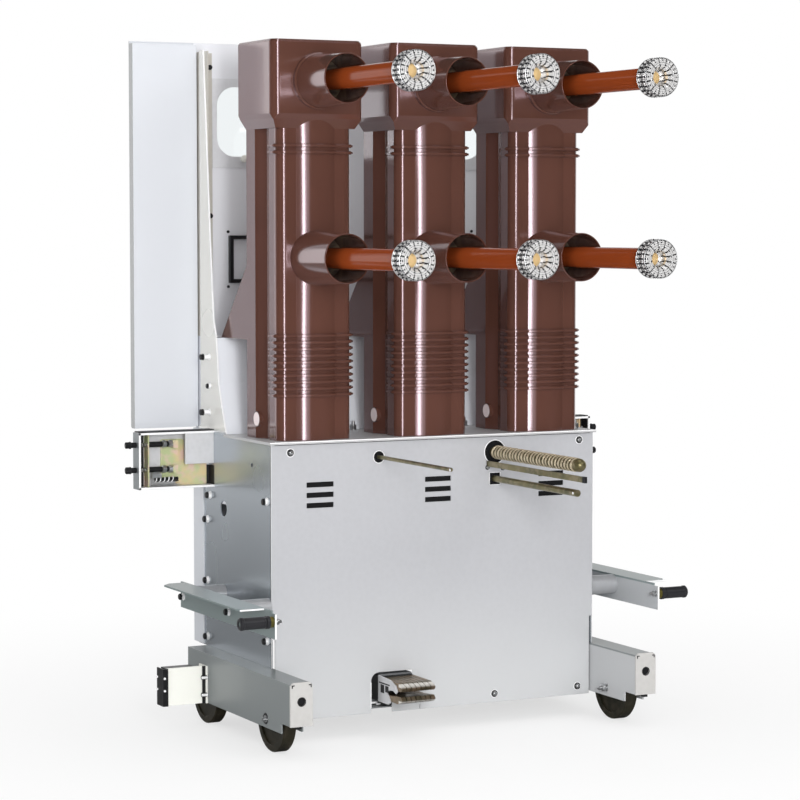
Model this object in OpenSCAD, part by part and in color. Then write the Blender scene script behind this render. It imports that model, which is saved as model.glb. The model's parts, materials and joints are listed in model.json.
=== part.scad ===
// Indoor vacuum circuit breaker on a roll-in truck: three cast-resin poles with
// contact arms on the arm side (-Y), the operator's front panel behind them (+Y).
// Z is up and the wheels stand on z = 0. Millimetres.

/* [Phases and arms] */
// Distance between neighbouring phase centres
phase_gap = 300; // [290:5:340]
// Height of the lower arm axis above the foot of a pole
arm_low_h = 414; // [400:1:450]
// Distance from the lower to the upper arm axis
arm_rise = 397; // [380:1:430]
// Diameter of an insulated arm
arm_d = 48; // [40:1:54]
// Reach of the contact mouths in front of the cabinet
arm_reach = 490; // [440:5:560]

/* [Pole casting] */
// Radius of the round front of a pole
tube_r = 99; // [96:0.5:102]
// Depth of the round front's axis behind the cabinet's arm side
tube_y = 107; // [104:1:112]
// Half width of the pole's body
body_hw = 92; // [90:0.5:95]
// Depth at which the body's flat shoulder lies
shoulder_y = 20; // [16:1:26]
// Radius of the body's front corners
corner_r = 21; // [12:1:26]
// Half width of the rear flange
flange_hw = 98.5; // [96:0.5:104]
// Depth of the pole's back
pole_back_y = 185; // [176:1:192]
// Half width of the head
head_hw = 114; // [106:0.5:120]
// Depth of the head's back
head_back_y = 194; // [192:1:204]
// Radius of the head's front corners
head_r = 20; // [10:1:30]
// Head's height below the upper arm axis
head_under = 73; // [70:1:90]
// Head's height above the upper arm axis
head_over = 93; // [76:1:110]
// Height of the slopes under the head
head_slope = 32; // [16:1:40]
// How far a rib stands out
rib_out = 8.5; // [5:0.5:12]
// Thickness of a rib
rib_t = 8; // [5:0.5:11]
// Distance from rib to rib
rib_pitch = 15; // [12:0.5:20]
// Number of ribs under the lower boss
rib_n = 10; // [4:1:12]
// Thickness of the rear gussets
gusset_t = 10; // [6:1:14]
// Rise of the rear gussets above the mechanism housing
gusset_h = 172; // [140:1:220]
// Length of the rear gussets behind the pole
gusset_d = 152; // [145:1:175]
// Diameter of the plug in a pole's side
plug_d = 32; // [20:1:40]

/* [Bosses] */
// Radius of a boss at its root
boss_root_r = 63; // [60:0.5:68]
// Radius of a boss at its mouth
boss_mouth_r = 56; // [53:0.5:59]
// Reach of a boss in front of the cabinet
boss_reach = 149; // [130:1:170]
// Wall of a boss at its mouth
boss_wall = 3; // [2:0.5:5]
// Radius of the bottom of a boss
boss_seat_r = 48; // [44:0.5:50]
// Thickness of the terminal disc in a boss
seat_t = 6; // [4:0.5:8]

/* [Tulip contacts] */
// Outer diameter of a tulip contact
tulip_d = 86; // [80:1:96]
// Length of a tulip contact
tulip_l = 48; // [42:1:60]
// Bore of a tulip contact
tulip_bore = 37; // [34:0.5:44]
// Number of fingers
finger_n = 12; // [8:1:18]
// Width of the slits between the fingers
slit_w = 2.6; // [1.5:0.1:4]
// Diameter of the ring springs' wire
ring_d = 4; // [3:0.25:5]

/* [Cabinet] */
// From an outer phase centre to the cabinet's side
cab_margin = 120; // [115:1:150]
// Height of the side plates from the beams to the deck
cab_h = 508; // [480:1:560]
// Depth of the cabinet
cab_d = 431; // [420:1:460]
// Thickness of the sheet
sheet = 3; // [2:0.5:4]
// Thickness of the deck plate
deck_t = 6; // [4:0.5:10]
// Overhang of the deck plate
deck_over = 6; // [3:0.5:10]
// Depth at which the mechanism housing starts
mech_y = 262; // [250:1:280]
// Height of the mechanism housing above the deck
mech_h = 224; // [200:1:260]
// Height of the mechanism housing below the deck
mech_low = 166; // [160:1:190]
// Clearance of the cover's lower edge above the floor
cover_ground = 50; // [45:1:60]
// How far the cover's lower part is set in at each side
cover_inset = 8; // [6:0.5:12]

/* [Louvres] */
// Width of a louvre
louvre_w = 68; // [50:1:90]
// Height of a louvre slot
louvre_h = 12; // [8:0.5:14]
// Radius of a louvre slot's corners
louvre_r = 1.5; // [1:0.5:4]
// Distance from louvre to louvre
louvre_pitch = 23.6; // [20:0.2:28]
// Louvres in a group
louvre_n = 3; // [2:1:5]
// Distance from group to group
louvre_gap = 302; // [280:1:310]
// Upper edge of the top louvre below the deck
louvre_drop = 88; // [75:1:120]

/* [Chassis] */
// Radius of a wheel
wheel_r = 76; // [74:0.5:84]
// Width of a wheel
wheel_w = 29; // [24:0.5:32]
// Diameter of a wheel axle
axle_d = 20; // [16:1:24]
// Depth of the front axle (negative is in front of the cabinet)
axle_front_y = -75; // [-95:1:-70]
// Depth of the rear axle
axle_rear_y = 309; // [295:1:315]
// Width of a chassis beam
beam_w = 54; // [50:1:64]
// Height of a chassis beam
beam_h = 116; // [104:1:126]
// Clearance of the beams above the floor
beam_ground = 56; // [48:1:62]
// Sheet of a chassis beam
beam_t = 4; // [3:0.5:5]
// Length of a beam in front of the cabinet
beam_nose = 209.5; // [190:0.5:240]
// Length of the raised tip of a beam
beam_tip = 51; // [40:1:56]
// How much higher the tip's lower edge is
beam_tip_rise = 23; // [15:1:28]
// Depth at which the beams end
beam_end_y = 383; // [375:1:420]
// Thickness of the beam's end plate
nose_t = 5; // [3:0.5:8]
// Diameter of the hole in the beam's end plate
nose_hole_d = 20; // [12:1:26]

/* [Operator panel] */
// Width of a wing outside the cabinet
wing_w = 162; // [140:1:190]
// Height of the panel's lower edge above the deck plate
panel_lift = 7; // [4:1:12]
// Height of the panel above the deck plate
panel_h = 920; // [900:1:980]
// Thickness of the wings
panel_d = 24; // [20:1:40]
// Width of a viewing window
window_w = 240; // [200:1:260]
// Height of a viewing window
window_h = 166; // [140:1:170]
// Radius of the window's corners
window_r = 45; // [30:1:60]
// Middle of the windows from the middle of the panel
window_x = 240; // [230:1:250]
// Height of the windows' middle below the panel's upper edge
window_drop = 185; // [175:1:210]

/* [Side channels] */
// Length of a side channel
chan_l = 190; // [170:1:210]
// Height of a side channel
chan_h = 133; // [120:1:140]
// Depth of a side channel
chan_d = 38; // [34:1:44]
// Depth at which a side channel starts
chan_y = 332; // [328:1:345]
// Wall of a side channel
chan_t = 5; // [3:0.5:6]
// Diameter of the locking bolts
lock_d = 13; // [8:0.5:16]

/* [Shutter rails] */
// From the cabinet's side to the rail's web
rail_gap = 70; // [60:1:80]
// Height of the rail's web
rail_h = 61; // [50:1:75]
// Width of the rail's flange
rail_w = 63; // [55:1:80]
// Sheet of a rail
rail_t = 4; // [3:0.5:5]
// Height of the rail's top above the beams
rail_top = 160; // [140:1:190]
// Rail's reach in front of the cabinet
rail_nose = 184; // [150:1:200]
// Depth at which the rail ends
rail_end_y = 365; // [350:1:380]
// Diameter of a guide roller
roller_d = 29; // [24:1:34]
// Length of a guide roller
roller_l = 71; // [50:1:90]
// Diameter of the guide roller's pin
roller_pin_d = 12; // [8:1:16]
// Diameter of the rail's spacer tubes
spacer_d = 46; // [30:1:50]

/* [Drive rods] */
// Diameter of the thin push rod
rod_d = 9; // [6:0.5:14]
// Reach of the thin push rod
rod_reach = 355; // [300:5:420]
// Diameter of the ribbed drive shaft
shaft_d = 30; // [24:1:36]
// Reach of the ribbed drive shaft
shaft_reach = 404; // [340:4:460]
// Distance from ridge to ridge on the drive shaft
shaft_pitch = 9; // [6:0.5:12]
// Diameter of the lower push rod
low_rod_d = 15.5; // [12:0.5:20]
// Reach of the lower push rod
low_rod_reach = 382; // [320:2:440]
// Reach of the flat guide bar
bar_reach = 449; // [400:1:480]

/* [Earth contact] */
// Fingers in a row
earth_n = 7; // [4:1:9]
// Width of an earth finger
earth_w = 10.5; // [8:0.5:12]
// Distance from finger to finger
earth_pitch = 12.4; // [12:0.1:15]
// Gap between the jaws
earth_gap = 12; // [6:1:16]
// Reach of the earth fingers
earth_reach = 118; // [100:1:140]

/* [Hidden] */
$fn = 72;

run_gap = 0.05;                          // radial clearance of a running fit
seat_gap = 0.3;                          // clearance of a loose seat
eps = 0.01;

// Levels
beam_top = beam_ground + beam_h;
cab_top = beam_top + cab_h;
deck_top = cab_top + deck_t;
arm_low_z = deck_top + arm_low_h;
arm_up_z = arm_low_z + arm_rise;
arm_levels = [arm_low_z, arm_up_z];
head_base = arm_up_z - head_under;
head_top = arm_up_z + head_over;
mech_top = deck_top + mech_h;
mech_base = deck_top - mech_low;
panel_base = deck_top + panel_lift;
panel_top = deck_top + panel_h;
window_z = panel_top - window_drop;
shaft_z = cab_top - 37;
low_rod_z = cab_top - 100;
bar_z = cab_top - 64;
rail_top_z = beam_top + rail_top;

// Widths, measured from the middle
phases = [-phase_gap, 0, phase_gap];
cab_hw = phase_gap + cab_margin;
panel_hw = cab_hw + wing_w;
beam_in = cab_hw - 5;
beam_mid = beam_in + beam_w / 2;
rail_x = cab_hw + rail_gap;
chan_end = cab_hw + chan_l;
lock_out = chan_end + 26;
rod_x = phase_gap / 2;

// Depths
skin_y = cab_d + panel_d - sheet;        // inner face of the panel's outer skin
panel_y = skin_y + sheet;                // operator's face
handle_y = panel_y + 52;
mid_y = (handle_y - arm_reach) / 2;      // middle of the whole depth

// Front edge of the mechanism housing above the deck, seen from the side
mech_edge = [[mech_y, deck_top], [mech_y + 28, deck_top + 67], [mech_y + 45, deck_top + 118],
             [mech_y + 53, deck_top + 184], [mech_y + 58, mech_top]];

// Stop plate
stop_x = beam_in + beam_w;
stop_y = 270;
stop_w = 98;
stop_z = [beam_ground - 1, beam_ground + 87];

// Locking bolts, guide rollers and earth contact
lock_y = chan_y + chan_d / 2;
lock_levels = [deck_top - 25, deck_top - 84];
roller_y = 12 - rail_nose;
roller_z = rail_top_z - 24;
spacer_ys = [20, rail_end_y - 84];
earth_x = -107;
earth_hw = earth_n * earth_pitch / 2;
earth_z = beam_ground + 53;

// Head's front and the depth at which a pole's straight sides end
head_y = 2;
side_end = 72;

// Length of the bead inside the contact fingers
bead_l = 9;

// Plug in the left side of each pole
plug_y = 132;
plug_z = deck_top + 44;
plug_in = 4 - body_hw;

// Box from low and high limits along each axis
module block(x, y, z) {
    translate([x[0], y[0], z[0]]) cube([x[1] - x[0], y[1] - y[0], z[1] - z[0]]);
}

// Round bar along Y
module bar_y(x, z, y, r) {
    translate([x, y[0], z]) rotate([-90, 0, 0]) cylinder(h = y[1] - y[0], r = r);
}

// Round bar along X
module bar_x(y, z, x, r) {
    translate([x[0], y, z]) rotate([0, 90, 0]) cylinder(h = x[1] - x[0], r = r);
}

// Puts a piece that is drawn on the right on the left as well or instead
module on_left() {
    mirror([1, 0, 0]) children();
}

module on_both() {
    children();
    on_left() children();
}

// Moves the model so that its middle lies on the origin
module placed() {
    translate([0, -mid_y, 0]) children();
}

// Outline drawn in Y and Z, given a thickness along X
module sheet_yz(x, t) {
    translate([x, 0, 0]) rotate([90, 0, 90]) linear_extrude(t) children();
}

// Outline drawn in X and Z, given a thickness along Y
module sheet_xz(y, t) {
    translate([0, y + t, 0]) rotate([90, 0, 0]) linear_extrude(t) children();
}

// Rectangle with round corners, centred
module round_rect(w, h, r) {
    square([w - 2 * r, h], center = true);
    square([w, h - 2 * r], center = true);
    for (x = [-1, 1], y = [-1, 1]) translate([x * (w / 2 - r), y * (h / 2 - r)]) circle(r);
}

/* ---- Poles ---- */

// Front of a pole in plan: a round tube on a flat-shouldered body
module pole_front(grow) {
    intersection() {
        translate([0, tube_y]) circle(tube_r + grow);
        translate([-body_hw, 0]) square([2 * body_hw, side_end]);
    }
    translate([corner_r - body_hw, shoulder_y - grow])
        square([2 * (body_hw - corner_r), side_end - shoulder_y + grow]);
    translate([-body_hw - grow, shoulder_y + corner_r])
        square([2 * (body_hw + grow), side_end - shoulder_y - corner_r]);
    for (s = [-1, 1]) translate([s * (body_hw - corner_r), shoulder_y + corner_r])
        circle(corner_r + grow);
    intersection() {
        translate([0, tube_y]) circle(tube_r + grow);
        translate([-60, shoulder_y - 40]) square([120, 60]);
    }
}

// Back of a pole in plan: a waist and the rear flange
module pole_back() {
    waist_hw = body_hw - 8;
    half = [[body_hw, side_end], [waist_hw, 100], [flange_hw - 3, 130], [flange_hw, 136],
            [flange_hw, pole_back_y]];
    polygon(concat(half, [for (i = [4:-1:0]) [-half[i][0], half[i][1]]]));
}

module pole_shaft() {
    translate([0, 0, deck_top]) linear_extrude(head_base - deck_top + eps) {
        pole_front(0);
        pole_back();
    }
}

// One layer of a rib, running out to nothing on both sides
module rib_layer(z, t, out) {
    translate([0, 0, z - t / 2]) linear_extrude(t) intersection() {
        union() {
            pole_front(out);
            polygon([[-body_hw - out, side_end - 1], [body_hw + out, side_end - 1],
                     [body_hw - 9, 100], [9 - body_hw, 100]]);
        }
        polygon([[-body_hw - out, -10], [body_hw + out, -10], [body_hw + out, 60],
                 [body_hw - 9, 100], [9 - body_hw, 100], [-body_hw - out, 60]]);
    }
}

// A rib that narrows outwards: a thick low layer and a thin high one
module rib(z) {
    rib_layer(z, rib_t, rib_out * 0.6);
    rib_layer(z, rib_t * 0.55, rib_out);
}

// Head outline with round front corners
module head_plan(inset) {
    w = head_hw - inset;
    r = head_r;
    translate([-w, head_y + inset + r]) square([2 * w, head_back_y - head_y - inset - r]);
    translate([r - w, head_y + inset]) square([2 * (w - r), r + eps]);
    for (s = [-1, 1]) translate([s * (w - r), head_y + inset + r]) circle(r);
}

// Profile of the slopes under the head: from the head's edge in to the shaft's edge
function slope(edge, shaft) = [[edge, 1], [edge, 0], [edge + (shaft - edge) / 4, -head_slope / 3],
                               [shaft, -head_slope]];

// Head with slopes down to the shaft and round edges on top
module pole_head() {
    edge = 5;
    side = slope(head_hw, flange_hw);
    front = slope(head_y, shoulder_y);
    back = slope(head_back_y, pole_back_y);
    translate([0, 0, head_base]) linear_extrude(head_top - head_base - edge) head_plan(0);
    translate([0, 0, head_top - edge - eps]) linear_extrude(edge / 2) head_plan(1);
    translate([0, 0, head_top - edge / 2 - eps]) linear_extrude(edge / 2) head_plan(3);
    intersection() {
        translate([0, 0, head_base - head_slope]) linear_extrude(head_slope + eps) head_plan(0);
        translate([0, 0, head_base]) sheet_xz(0, 2 * pole_back_y)
            polygon(concat(side, [for (i = [3:-1:0]) [-side[i][0], side[i][1]]]));
        translate([0, 0, head_base]) sheet_yz(-head_hw, 2 * head_hw)
            polygon(concat(front, [for (i = [3:-1:0]) back[i]]));
    }
}

// Hollow boss around the root of an arm; the profile runs from the axis outwards
module boss(z, root_y, collar) {
    mouth_in = boss_mouth_r - boss_wall;
    outer = collar
        ? [[0, -root_y], [boss_root_r + 1, -root_y], [boss_root_r + 1, 9],
           [boss_root_r - 2, 12]]
        : [[0, -root_y], [boss_root_r, -root_y]];
    translate([0, 0, z]) rotate([90, 0, 0]) rotate_extrude() polygon(concat(outer,
        [[boss_mouth_r, boss_reach - 2], [boss_mouth_r - 1, boss_reach],
         [mouth_in + 1, boss_reach], [mouth_in, boss_reach - 2],
         [boss_seat_r, 20], [boss_seat_r, 20 - seat_t], [0, 20 - seat_t]]));
}

// Triangular gusset behind the pole, standing on the mechanism housing
module rear_gusset(x) {
    sheet_yz(x, gusset_t) polygon([[pole_back_y - 1, mech_top],
        [pole_back_y + gusset_d, mech_top], [pole_back_y, mech_top + gusset_h],
        [pole_back_y - 1, mech_top + gusset_h]]);
}

module pole(i) {
    color("saddlebrown") translate([phases[i], 0, 0]) {
        difference() {
            union() {
                pole_shaft();
                bar_x(plug_y, plug_z, [-flange_hw, plug_in], plug_d / 2 + 2);
            }
            bar_x(plug_y, plug_z, [-flange_hw - 5, plug_in], plug_d / 2);
        }
        pole_head();
        boss(arm_up_z, 10, true);
        boss(arm_low_z, 28, false);
        for (k = [0:rib_n - 1]) rib(arm_low_z - 176 - k * rib_pitch);
        for (k = [0, 1]) rib(arm_up_z - 144 - k * rib_pitch);
        rear_gusset(flange_hw - gusset_t);
        rear_gusset(-flange_hw);
    }
}

module terminal_discs() {
    color("silver") for (x = phases, z = arm_levels)
        bar_y(x, z, [-20, seat_t - 20], boss_seat_r - seat_gap);
}

module pole_plugs() {
    color("mistyrose") for (x = phases)
        bar_x(plug_y, plug_z, [x - flange_hw - 0.5, x + plug_in], plug_d / 2 - seat_gap);
}

/* ---- Arms and tulip contacts ---- */

module arms(i) {
    color("sienna") for (z = arm_levels)
        bar_y(phases[i], z, [tulip_l + 2 - arm_reach, -20], arm_d / 2);
}

// Side outline of the fingers: radius outwards, reach along the arm. The bead inside
// grips the stationary contact, and the springs lie in the long groove outside
module finger_outline() {
    out = tulip_d / 2 - 1;
    groove = tulip_d / 2 - ring_d + 0.5;
    in = tulip_bore / 2;
    polygon([[in + 5, 4], [out - 2, 4], [out, 7], [out, 11], [groove, 12], [groove, tulip_l - 11],
             [out, tulip_l - 10], [out, tulip_l - 3], [out - 3, tulip_l], [in + 6, tulip_l],
             [in, tulip_l - bead_l], [in, tulip_l - 2 * bead_l], [in + 5, tulip_l - 2 * bead_l - 5]]);
}

// One tulip contact, its foot at y = 0 and its mouth towards -Y
module tulip() {
    ring_r = tulip_d / 2 - ring_d / 2;
    rotate([90, 0, 0]) {
        difference() {
            rotate_extrude() finger_outline();
            for (k = [0:finger_n - 1]) rotate([0, 0, 360 / finger_n * (k + 0.5)])
                translate([0, -slit_w / 2, 8]) cube([tulip_d, slit_w, tulip_l]);
        }
        for (h = [13 + ring_d / 2, tulip_l - 12 - ring_d / 2])
            rotate_extrude() translate([ring_r, h]) circle(d = ring_d);
        cylinder(h = 5, r = tulip_d / 2 - 8);
        cylinder(h = 8, r = tulip_bore / 2 - 2.5);
    }
}

module tulips(i) {
    color("gainsboro") for (z = arm_levels)
        translate([phases[i], tulip_l - arm_reach, z]) union() {
            tulip();
            bar_y(0, 0, [0, 2], arm_d / 2 - 2);
        }
}

/* ---- Cabinet ---- */

// Side plate with the tall tapered arm that steadies the operator's panel
module side_plate() {
    brace_y = cab_d - 16;
    brace_top = panel_top - 20;
    difference() {
        sheet_yz(cab_hw - sheet, sheet) polygon([[sheet, beam_top], [cab_d, beam_top],
            [cab_d, panel_base - 3], [brace_y, panel_base + 6], [brace_y, brace_top],
            [brace_y - 22, brace_top], [brace_y - 60, deck_top + 455], [brace_y - 79, deck_top + 265],
            for (i = [len(mech_edge) - 1:-1:0]) mech_edge[i], [mech_y, cab_top], [sheet, cab_top]]);
        bar_x(277, cab_top - 170, [cab_hw - 10, cab_hw + 10], 18.5);
        bar_x(110, cab_top - 54, [cab_hw - 10, cab_hw + 10], 5);
    }
}

module side_plate_right() {
    color("lightslategray") side_plate();
}

module side_plate_left() {
    color("lightslategray") on_left() side_plate();
}

module louvre_slots() {
    for (g = [-1:1], k = [0:louvre_n - 1])
        translate([g * louvre_gap + 3, deck_top - deck_t - louvre_drop - k * louvre_pitch - louvre_h / 2])
            round_rect(louvre_w, louvre_h, louvre_r);
}

// Opening for the earth contact, open at the cover's lower edge
module earth_opening() {
    translate([earth_x - earth_hw - 20, cover_ground - 10]) square([2 * earth_hw + 40, 80]);
    translate([earth_x - earth_hw, cover_ground + 60]) square([2 * earth_hw, 34]);
    translate([earth_x, cover_ground + 64]) round_rect(2 * earth_hw + 40, 60, 20);
}

module arm_side_cover() {
    color("whitesmoke") difference() {
        union() {
            block([-cab_hw, cab_hw], [0, sheet], [beam_top + 66, cab_top]);
            block([-cab_hw, 0], [0, sheet], [beam_top + 100, cab_top]);
            block([cover_inset - cab_hw, cab_hw - cover_inset], [0, sheet],
                  [cover_ground, cab_top]);
        }
        sheet_xz(-1, sheet + 2) {
            louvre_slots();
            earth_opening();
            translate([-rod_x, shaft_z]) circle(rod_d / 2 + 9);
            translate([rod_x + 3.5, shaft_z]) circle(shaft_d / 2 + 12);
            translate([rod_x + 3.5, low_rod_z]) square(low_rod_d + 12, center = true);
            translate([rod_x - 15, bar_z]) square([8, 16], center = true);
        }
    }
}

module deck_plate() {
    color("lightgray") block([-cab_hw - deck_over, cab_hw + deck_over],
        [-deck_over, mech_y], [cab_top, deck_top]);
}

module floor_pan() {
    color("darkgray") difference() {
        block([-beam_in, beam_in], [sheet, beam_end_y], [beam_ground + 4, beam_top - 20]);
        block([beam_t - beam_in, beam_in - beam_t], [sheet - 1, beam_end_y + 1],
              [beam_ground + 4 + sheet, beam_top]);
    }
}

// Housing of the spring mechanism: it closes the cabinet and rises behind the poles,
// its front leaning back along the side plates' edges
module mechanism_box() {
    color("gainsboro") sheet_yz(sheet - cab_hw, 2 * (cab_hw - sheet))
        polygon(concat([[skin_y, mech_top], [skin_y, mech_base], [mech_y, mech_base]], mech_edge));
}

module operator_cover() {
    lap_y = cab_d - 36;
    color("gainsboro") difference() {
        block([-cab_hw - sheet, cab_hw + sheet], [lap_y, panel_y], [beam_top + 2, cab_top + 9]);
        block([-cab_hw, cab_hw], [lap_y - 1, skin_y], [beam_top, cab_top + 20]);
    }
}

/* ---- Operator's panel ---- */

module window_holes() {
    for (s = [-1, 1]) translate([s * window_x, window_z]) round_rect(window_w, window_h, window_r);
}

module front_panel() {
    color("gainsboro") difference() {
        block([-panel_hw, panel_hw], [skin_y, panel_y], [panel_base + 3, panel_top]);
        sheet_xz(skin_y - 1, sheet + 2) window_holes();
    }
}

// Closed wing, a shallow box on the arm side of the panel
module wing() {
    block([cab_hw, panel_hw], [cab_d, skin_y], [panel_base, panel_top - 6]);
}

module wing_right() {
    color("lightgray") wing();
}

module wing_left() {
    color("lightgray") on_left() wing();
}

// Plates behind the viewing windows, each with the window cut out
module window_plates() {
    color("gray") difference() {
        for (s = [-1, 1]) translate([s * window_x, 0, 0])
            block([-window_w / 2 - 12, window_w / 2 + 12], [skin_y - 2, skin_y],
                  [window_z - window_h / 2 - 27, window_z + window_h / 2 + 20]);
        sheet_xz(skin_y - 5, 10) window_holes();
    }
}

module window_panes() {
    color("lightcyan", 0.5) sheet_xz(skin_y, sheet - 0.5) for (s = [-1, 1])
        translate([s * window_x, window_z])
            round_rect(window_w - 2 * seat_gap, window_h - 2 * seat_gap, window_r - seat_gap);
}

// Black frames on the panel's inner side
module panel_bezels() {
    bar = 9;
    w = 75;
    h = 57;
    color("dimgray") for (s = [-1, 1]) translate([s * (phase_gap - 44), 0, deck_top + 406])
        difference() {
            block([-w, w], [skin_y - 12, skin_y], [-h, h]);
            block([bar - w, w - bar], [skin_y - 20, skin_y + 1], [bar - h, h - bar]);
        }
}

// Angles that tie the side plates' arms to the panel
module panel_angle() {
    z = [deck_top + 22, panel_top - 23];
    block([cab_hw - sheet - 3, cab_hw - sheet], [cab_d - 60, skin_y], z);
    block([cab_hw - sheet - 44, cab_hw - sheet], [skin_y - 3, skin_y], z);
    block([cab_hw - sheet - 44, cab_hw - sheet], [skin_y - 30, skin_y], [z[0] - 16, z[0]]);
}

module panel_angles() {
    color("tan") difference() {
        on_both() panel_angle();
        block([sheet - cab_hw - 1, cab_hw - sheet + 1], [cab_d - 70, skin_y], [0, mech_top]);
    }
}

module operator_controls() {
    color("dimgray") for (s = [-1, 1]) {
        bar_y(s * 40, deck_top + 300, [panel_y, panel_y + 14], 15);
        bar_y(s * 40, deck_top + 220, [panel_y, panel_y + 5], 22);
    }
}

module pull_handle() {
    z = [deck_top + 300, deck_top + 460];
    x = cab_hw + wing_w / 2;
    for (h = z) bar_y(x, h, [panel_y, handle_y - 9], 7);
    translate([x, handle_y - 9, z[0] - 12]) cylinder(h = z[1] - z[0] + 24, r = 9);
}

module pull_handles() {
    color("dimgray") on_both() pull_handle();
}

/* ---- Side channels ---- */

module side_channel() {
    z = [deck_top + 4 - chan_h, deck_top + 4];
    difference() {
        block([cab_hw, chan_end], [chan_y, chan_y + chan_d], z);
        block([cab_hw - 1, chan_end - chan_t], [chan_y - 1, chan_y + chan_d - chan_t],
              [z[0] + chan_t, z[1] - chan_t]);
        for (h = lock_levels) bar_x(lock_y, h, [chan_end - 20, chan_end + 10], lock_d / 4 + 0.5);
    }
    block([cab_hw, cab_hw + 72], [chan_y + 4, chan_y + 7], [z[1] - 77, z[1] - chan_t]);
}

module side_channel_right() {
    color("lightgray") side_channel();
}

module side_channel_left() {
    color("lightgray") on_left() side_channel();
}

// L-shaped locking plate and the small angle beside the channel's end wall
module interlock_plate() {
    y = [chan_y + chan_d - chan_t - 3, chan_y + chan_d - chan_t];
    top = deck_top + 4 - chan_t;
    base = deck_top + 4 - chan_h + chan_t;
    sheet_xz(y[0], 3) polygon([[cab_hw + 8, base], [cab_hw + 83, base], [cab_hw + 92, base + 14],
        [cab_hw + 124, base + 20], [cab_hw + 124, top - 17], [cab_hw + 121, top - 14],
        for (a = [90:15:180]) [cab_hw + 73 + 8 * cos(a), top - 22 + 8 * sin(a)],
        [cab_hw + 65, base + 50], [cab_hw + 8, base + 50]]);
    for (h = lock_levels) block([cab_hw + 88, cab_hw + 100], [lock_y - 9, y[0] + 1], [h - 9, h + 9]);
    difference() {
        block([chan_end - 28, chan_end - 25], [chan_y + 6, y[1]], [base, top]);
        for (h = lock_levels) bar_x(lock_y, h, [chan_end - 40, chan_end], lock_d / 2 + 0.5);
    }
}

module interlock_plates() {
    color("burlywood") on_both() interlock_plate();
}

// Black bolts through the channel's end wall, each with its head outside
module locking_bolt(z) {
    bar_x(lock_y, z, [cab_hw + 100, chan_end + 4], lock_d / 4);
    bar_x(lock_y, z, [cab_hw + 100, chan_end - 29], lock_d / 2);
    bar_x(lock_y, z, [chan_end, lock_out], lock_d / 2);
}

module locking_bolts() {
    color("dimgray") on_both() for (h = lock_levels) locking_bolt(h);
}

/* ---- Chassis ---- */

// Beam: a channel open downwards and at its rear end, with a raised tip
module chassis_beam() {
    difference() {
        block([beam_in, beam_in + beam_w], [nose_t - beam_nose, beam_end_y],
              [beam_ground, beam_top]);
        block([beam_in + beam_t, beam_in + beam_w - beam_t],
              [nose_t - beam_nose - 1, beam_end_y + 1], [beam_ground - 1, beam_top - beam_t]);
        block([beam_in - 1, beam_in + beam_w + 1], [-beam_nose - 1, beam_tip - beam_nose],
              [beam_ground - 1, beam_ground + beam_tip_rise]);
        for (y = [axle_front_y, axle_rear_y])
            bar_x(y, wheel_r, [beam_in - 1, beam_in + beam_w + 1], axle_d / 2 + run_gap);
    }
}

module chassis_beam_right() {
    color("lightslategray") chassis_beam();
}

module chassis_beam_left() {
    color("lightslategray") on_left() chassis_beam();
}

module beam_end_plate() {
    z = [beam_ground + beam_tip_rise - 1, beam_top + 4];
    corner = 7;
    difference() {
        sheet_xz(-beam_nose, nose_t) polygon([[beam_in, z[0]], [beam_in + beam_w, z[0]],
            [beam_in + beam_w, z[1] - corner], [beam_in + beam_w - corner, z[1]],
            [beam_in + corner, z[1]], [beam_in, z[1] - corner]]);
        bar_y(beam_mid, beam_top - 39, [-beam_nose - 1, nose_t - beam_nose + 1], nose_hole_d / 2);
    }
}

module beam_end_plates() {
    color("gainsboro") on_both() beam_end_plate();
}

// Fixed axle with a spacer ring on each side of its wheel
module wheel_axle(y) {
    gap = (beam_w - 2 * beam_t - wheel_w) / 2;
    bar_x(y, wheel_r, [beam_in, beam_in + beam_w], axle_d / 2);
    for (x = [beam_in + beam_t, beam_mid + wheel_w / 2 + seat_gap])
        bar_x(y, wheel_r, [x, x + gap - seat_gap], axle_d / 2 + 6);
}

module wheel_axles() {
    color("dimgray") on_both() for (y = [axle_front_y, axle_rear_y]) wheel_axle(y);
}

// Wheel profile: bore, hub, web and a rim with broken edges
module wheel(side, y) {
    hub_r = axle_d / 2 + 14;
    rim_r = wheel_r - 16;
    h = wheel_w / 2;
    color("darkolivegreen") translate([side * beam_mid, y, wheel_r]) rotate([0, 90, 0])
        rotate_extrude() polygon([[axle_d / 2 + run_gap, -h], [hub_r, -h], [hub_r, 4 - h],
            [rim_r, 4 - h], [rim_r, -h], [wheel_r - 2, -h], [wheel_r, 2 - h], [wheel_r, h - 2],
            [wheel_r - 2, h], [rim_r, h], [rim_r, h - 4], [hub_r, h - 4], [hub_r, h],
            [axle_d / 2 + run_gap, h]]);
}

/* ---- Shutter rails ---- */

module rail() {
    difference() {
        union() {
            block([rail_x, rail_x + rail_t], [-rail_nose, rail_end_y],
                  [rail_top_z - rail_h, rail_top_z]);
            sheet_top = rail_top_z - rail_t;
            translate([0, 0, sheet_top]) linear_extrude(rail_t) polygon([[rail_x, 59 - rail_nose],
                [rail_x + rail_w - 20, 59 - rail_nose], [rail_x + rail_w, 79 - rail_nose],
                [rail_x + rail_w, rail_end_y - 43], [rail_x + rail_w - 20, rail_end_y - 23],
                [rail_x, rail_end_y - 23]]);
        }
        block([rail_x - 1, rail_x + rail_t + 1], [-rail_nose - 1, 20 - rail_nose],
              [rail_top_z - 6, rail_top_z + 1]);
    }
    bar_x(roller_y, roller_z, [rail_x + rail_t - 1, rail_x + rail_t + 9], roller_d / 2 - 3);
    bar_x(roller_y, roller_z, [rail_x, rail_x + rail_t + 9 + roller_l - 2], roller_pin_d / 2);
}

module rail_right() {
    color("slategray") rail();
}

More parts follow.
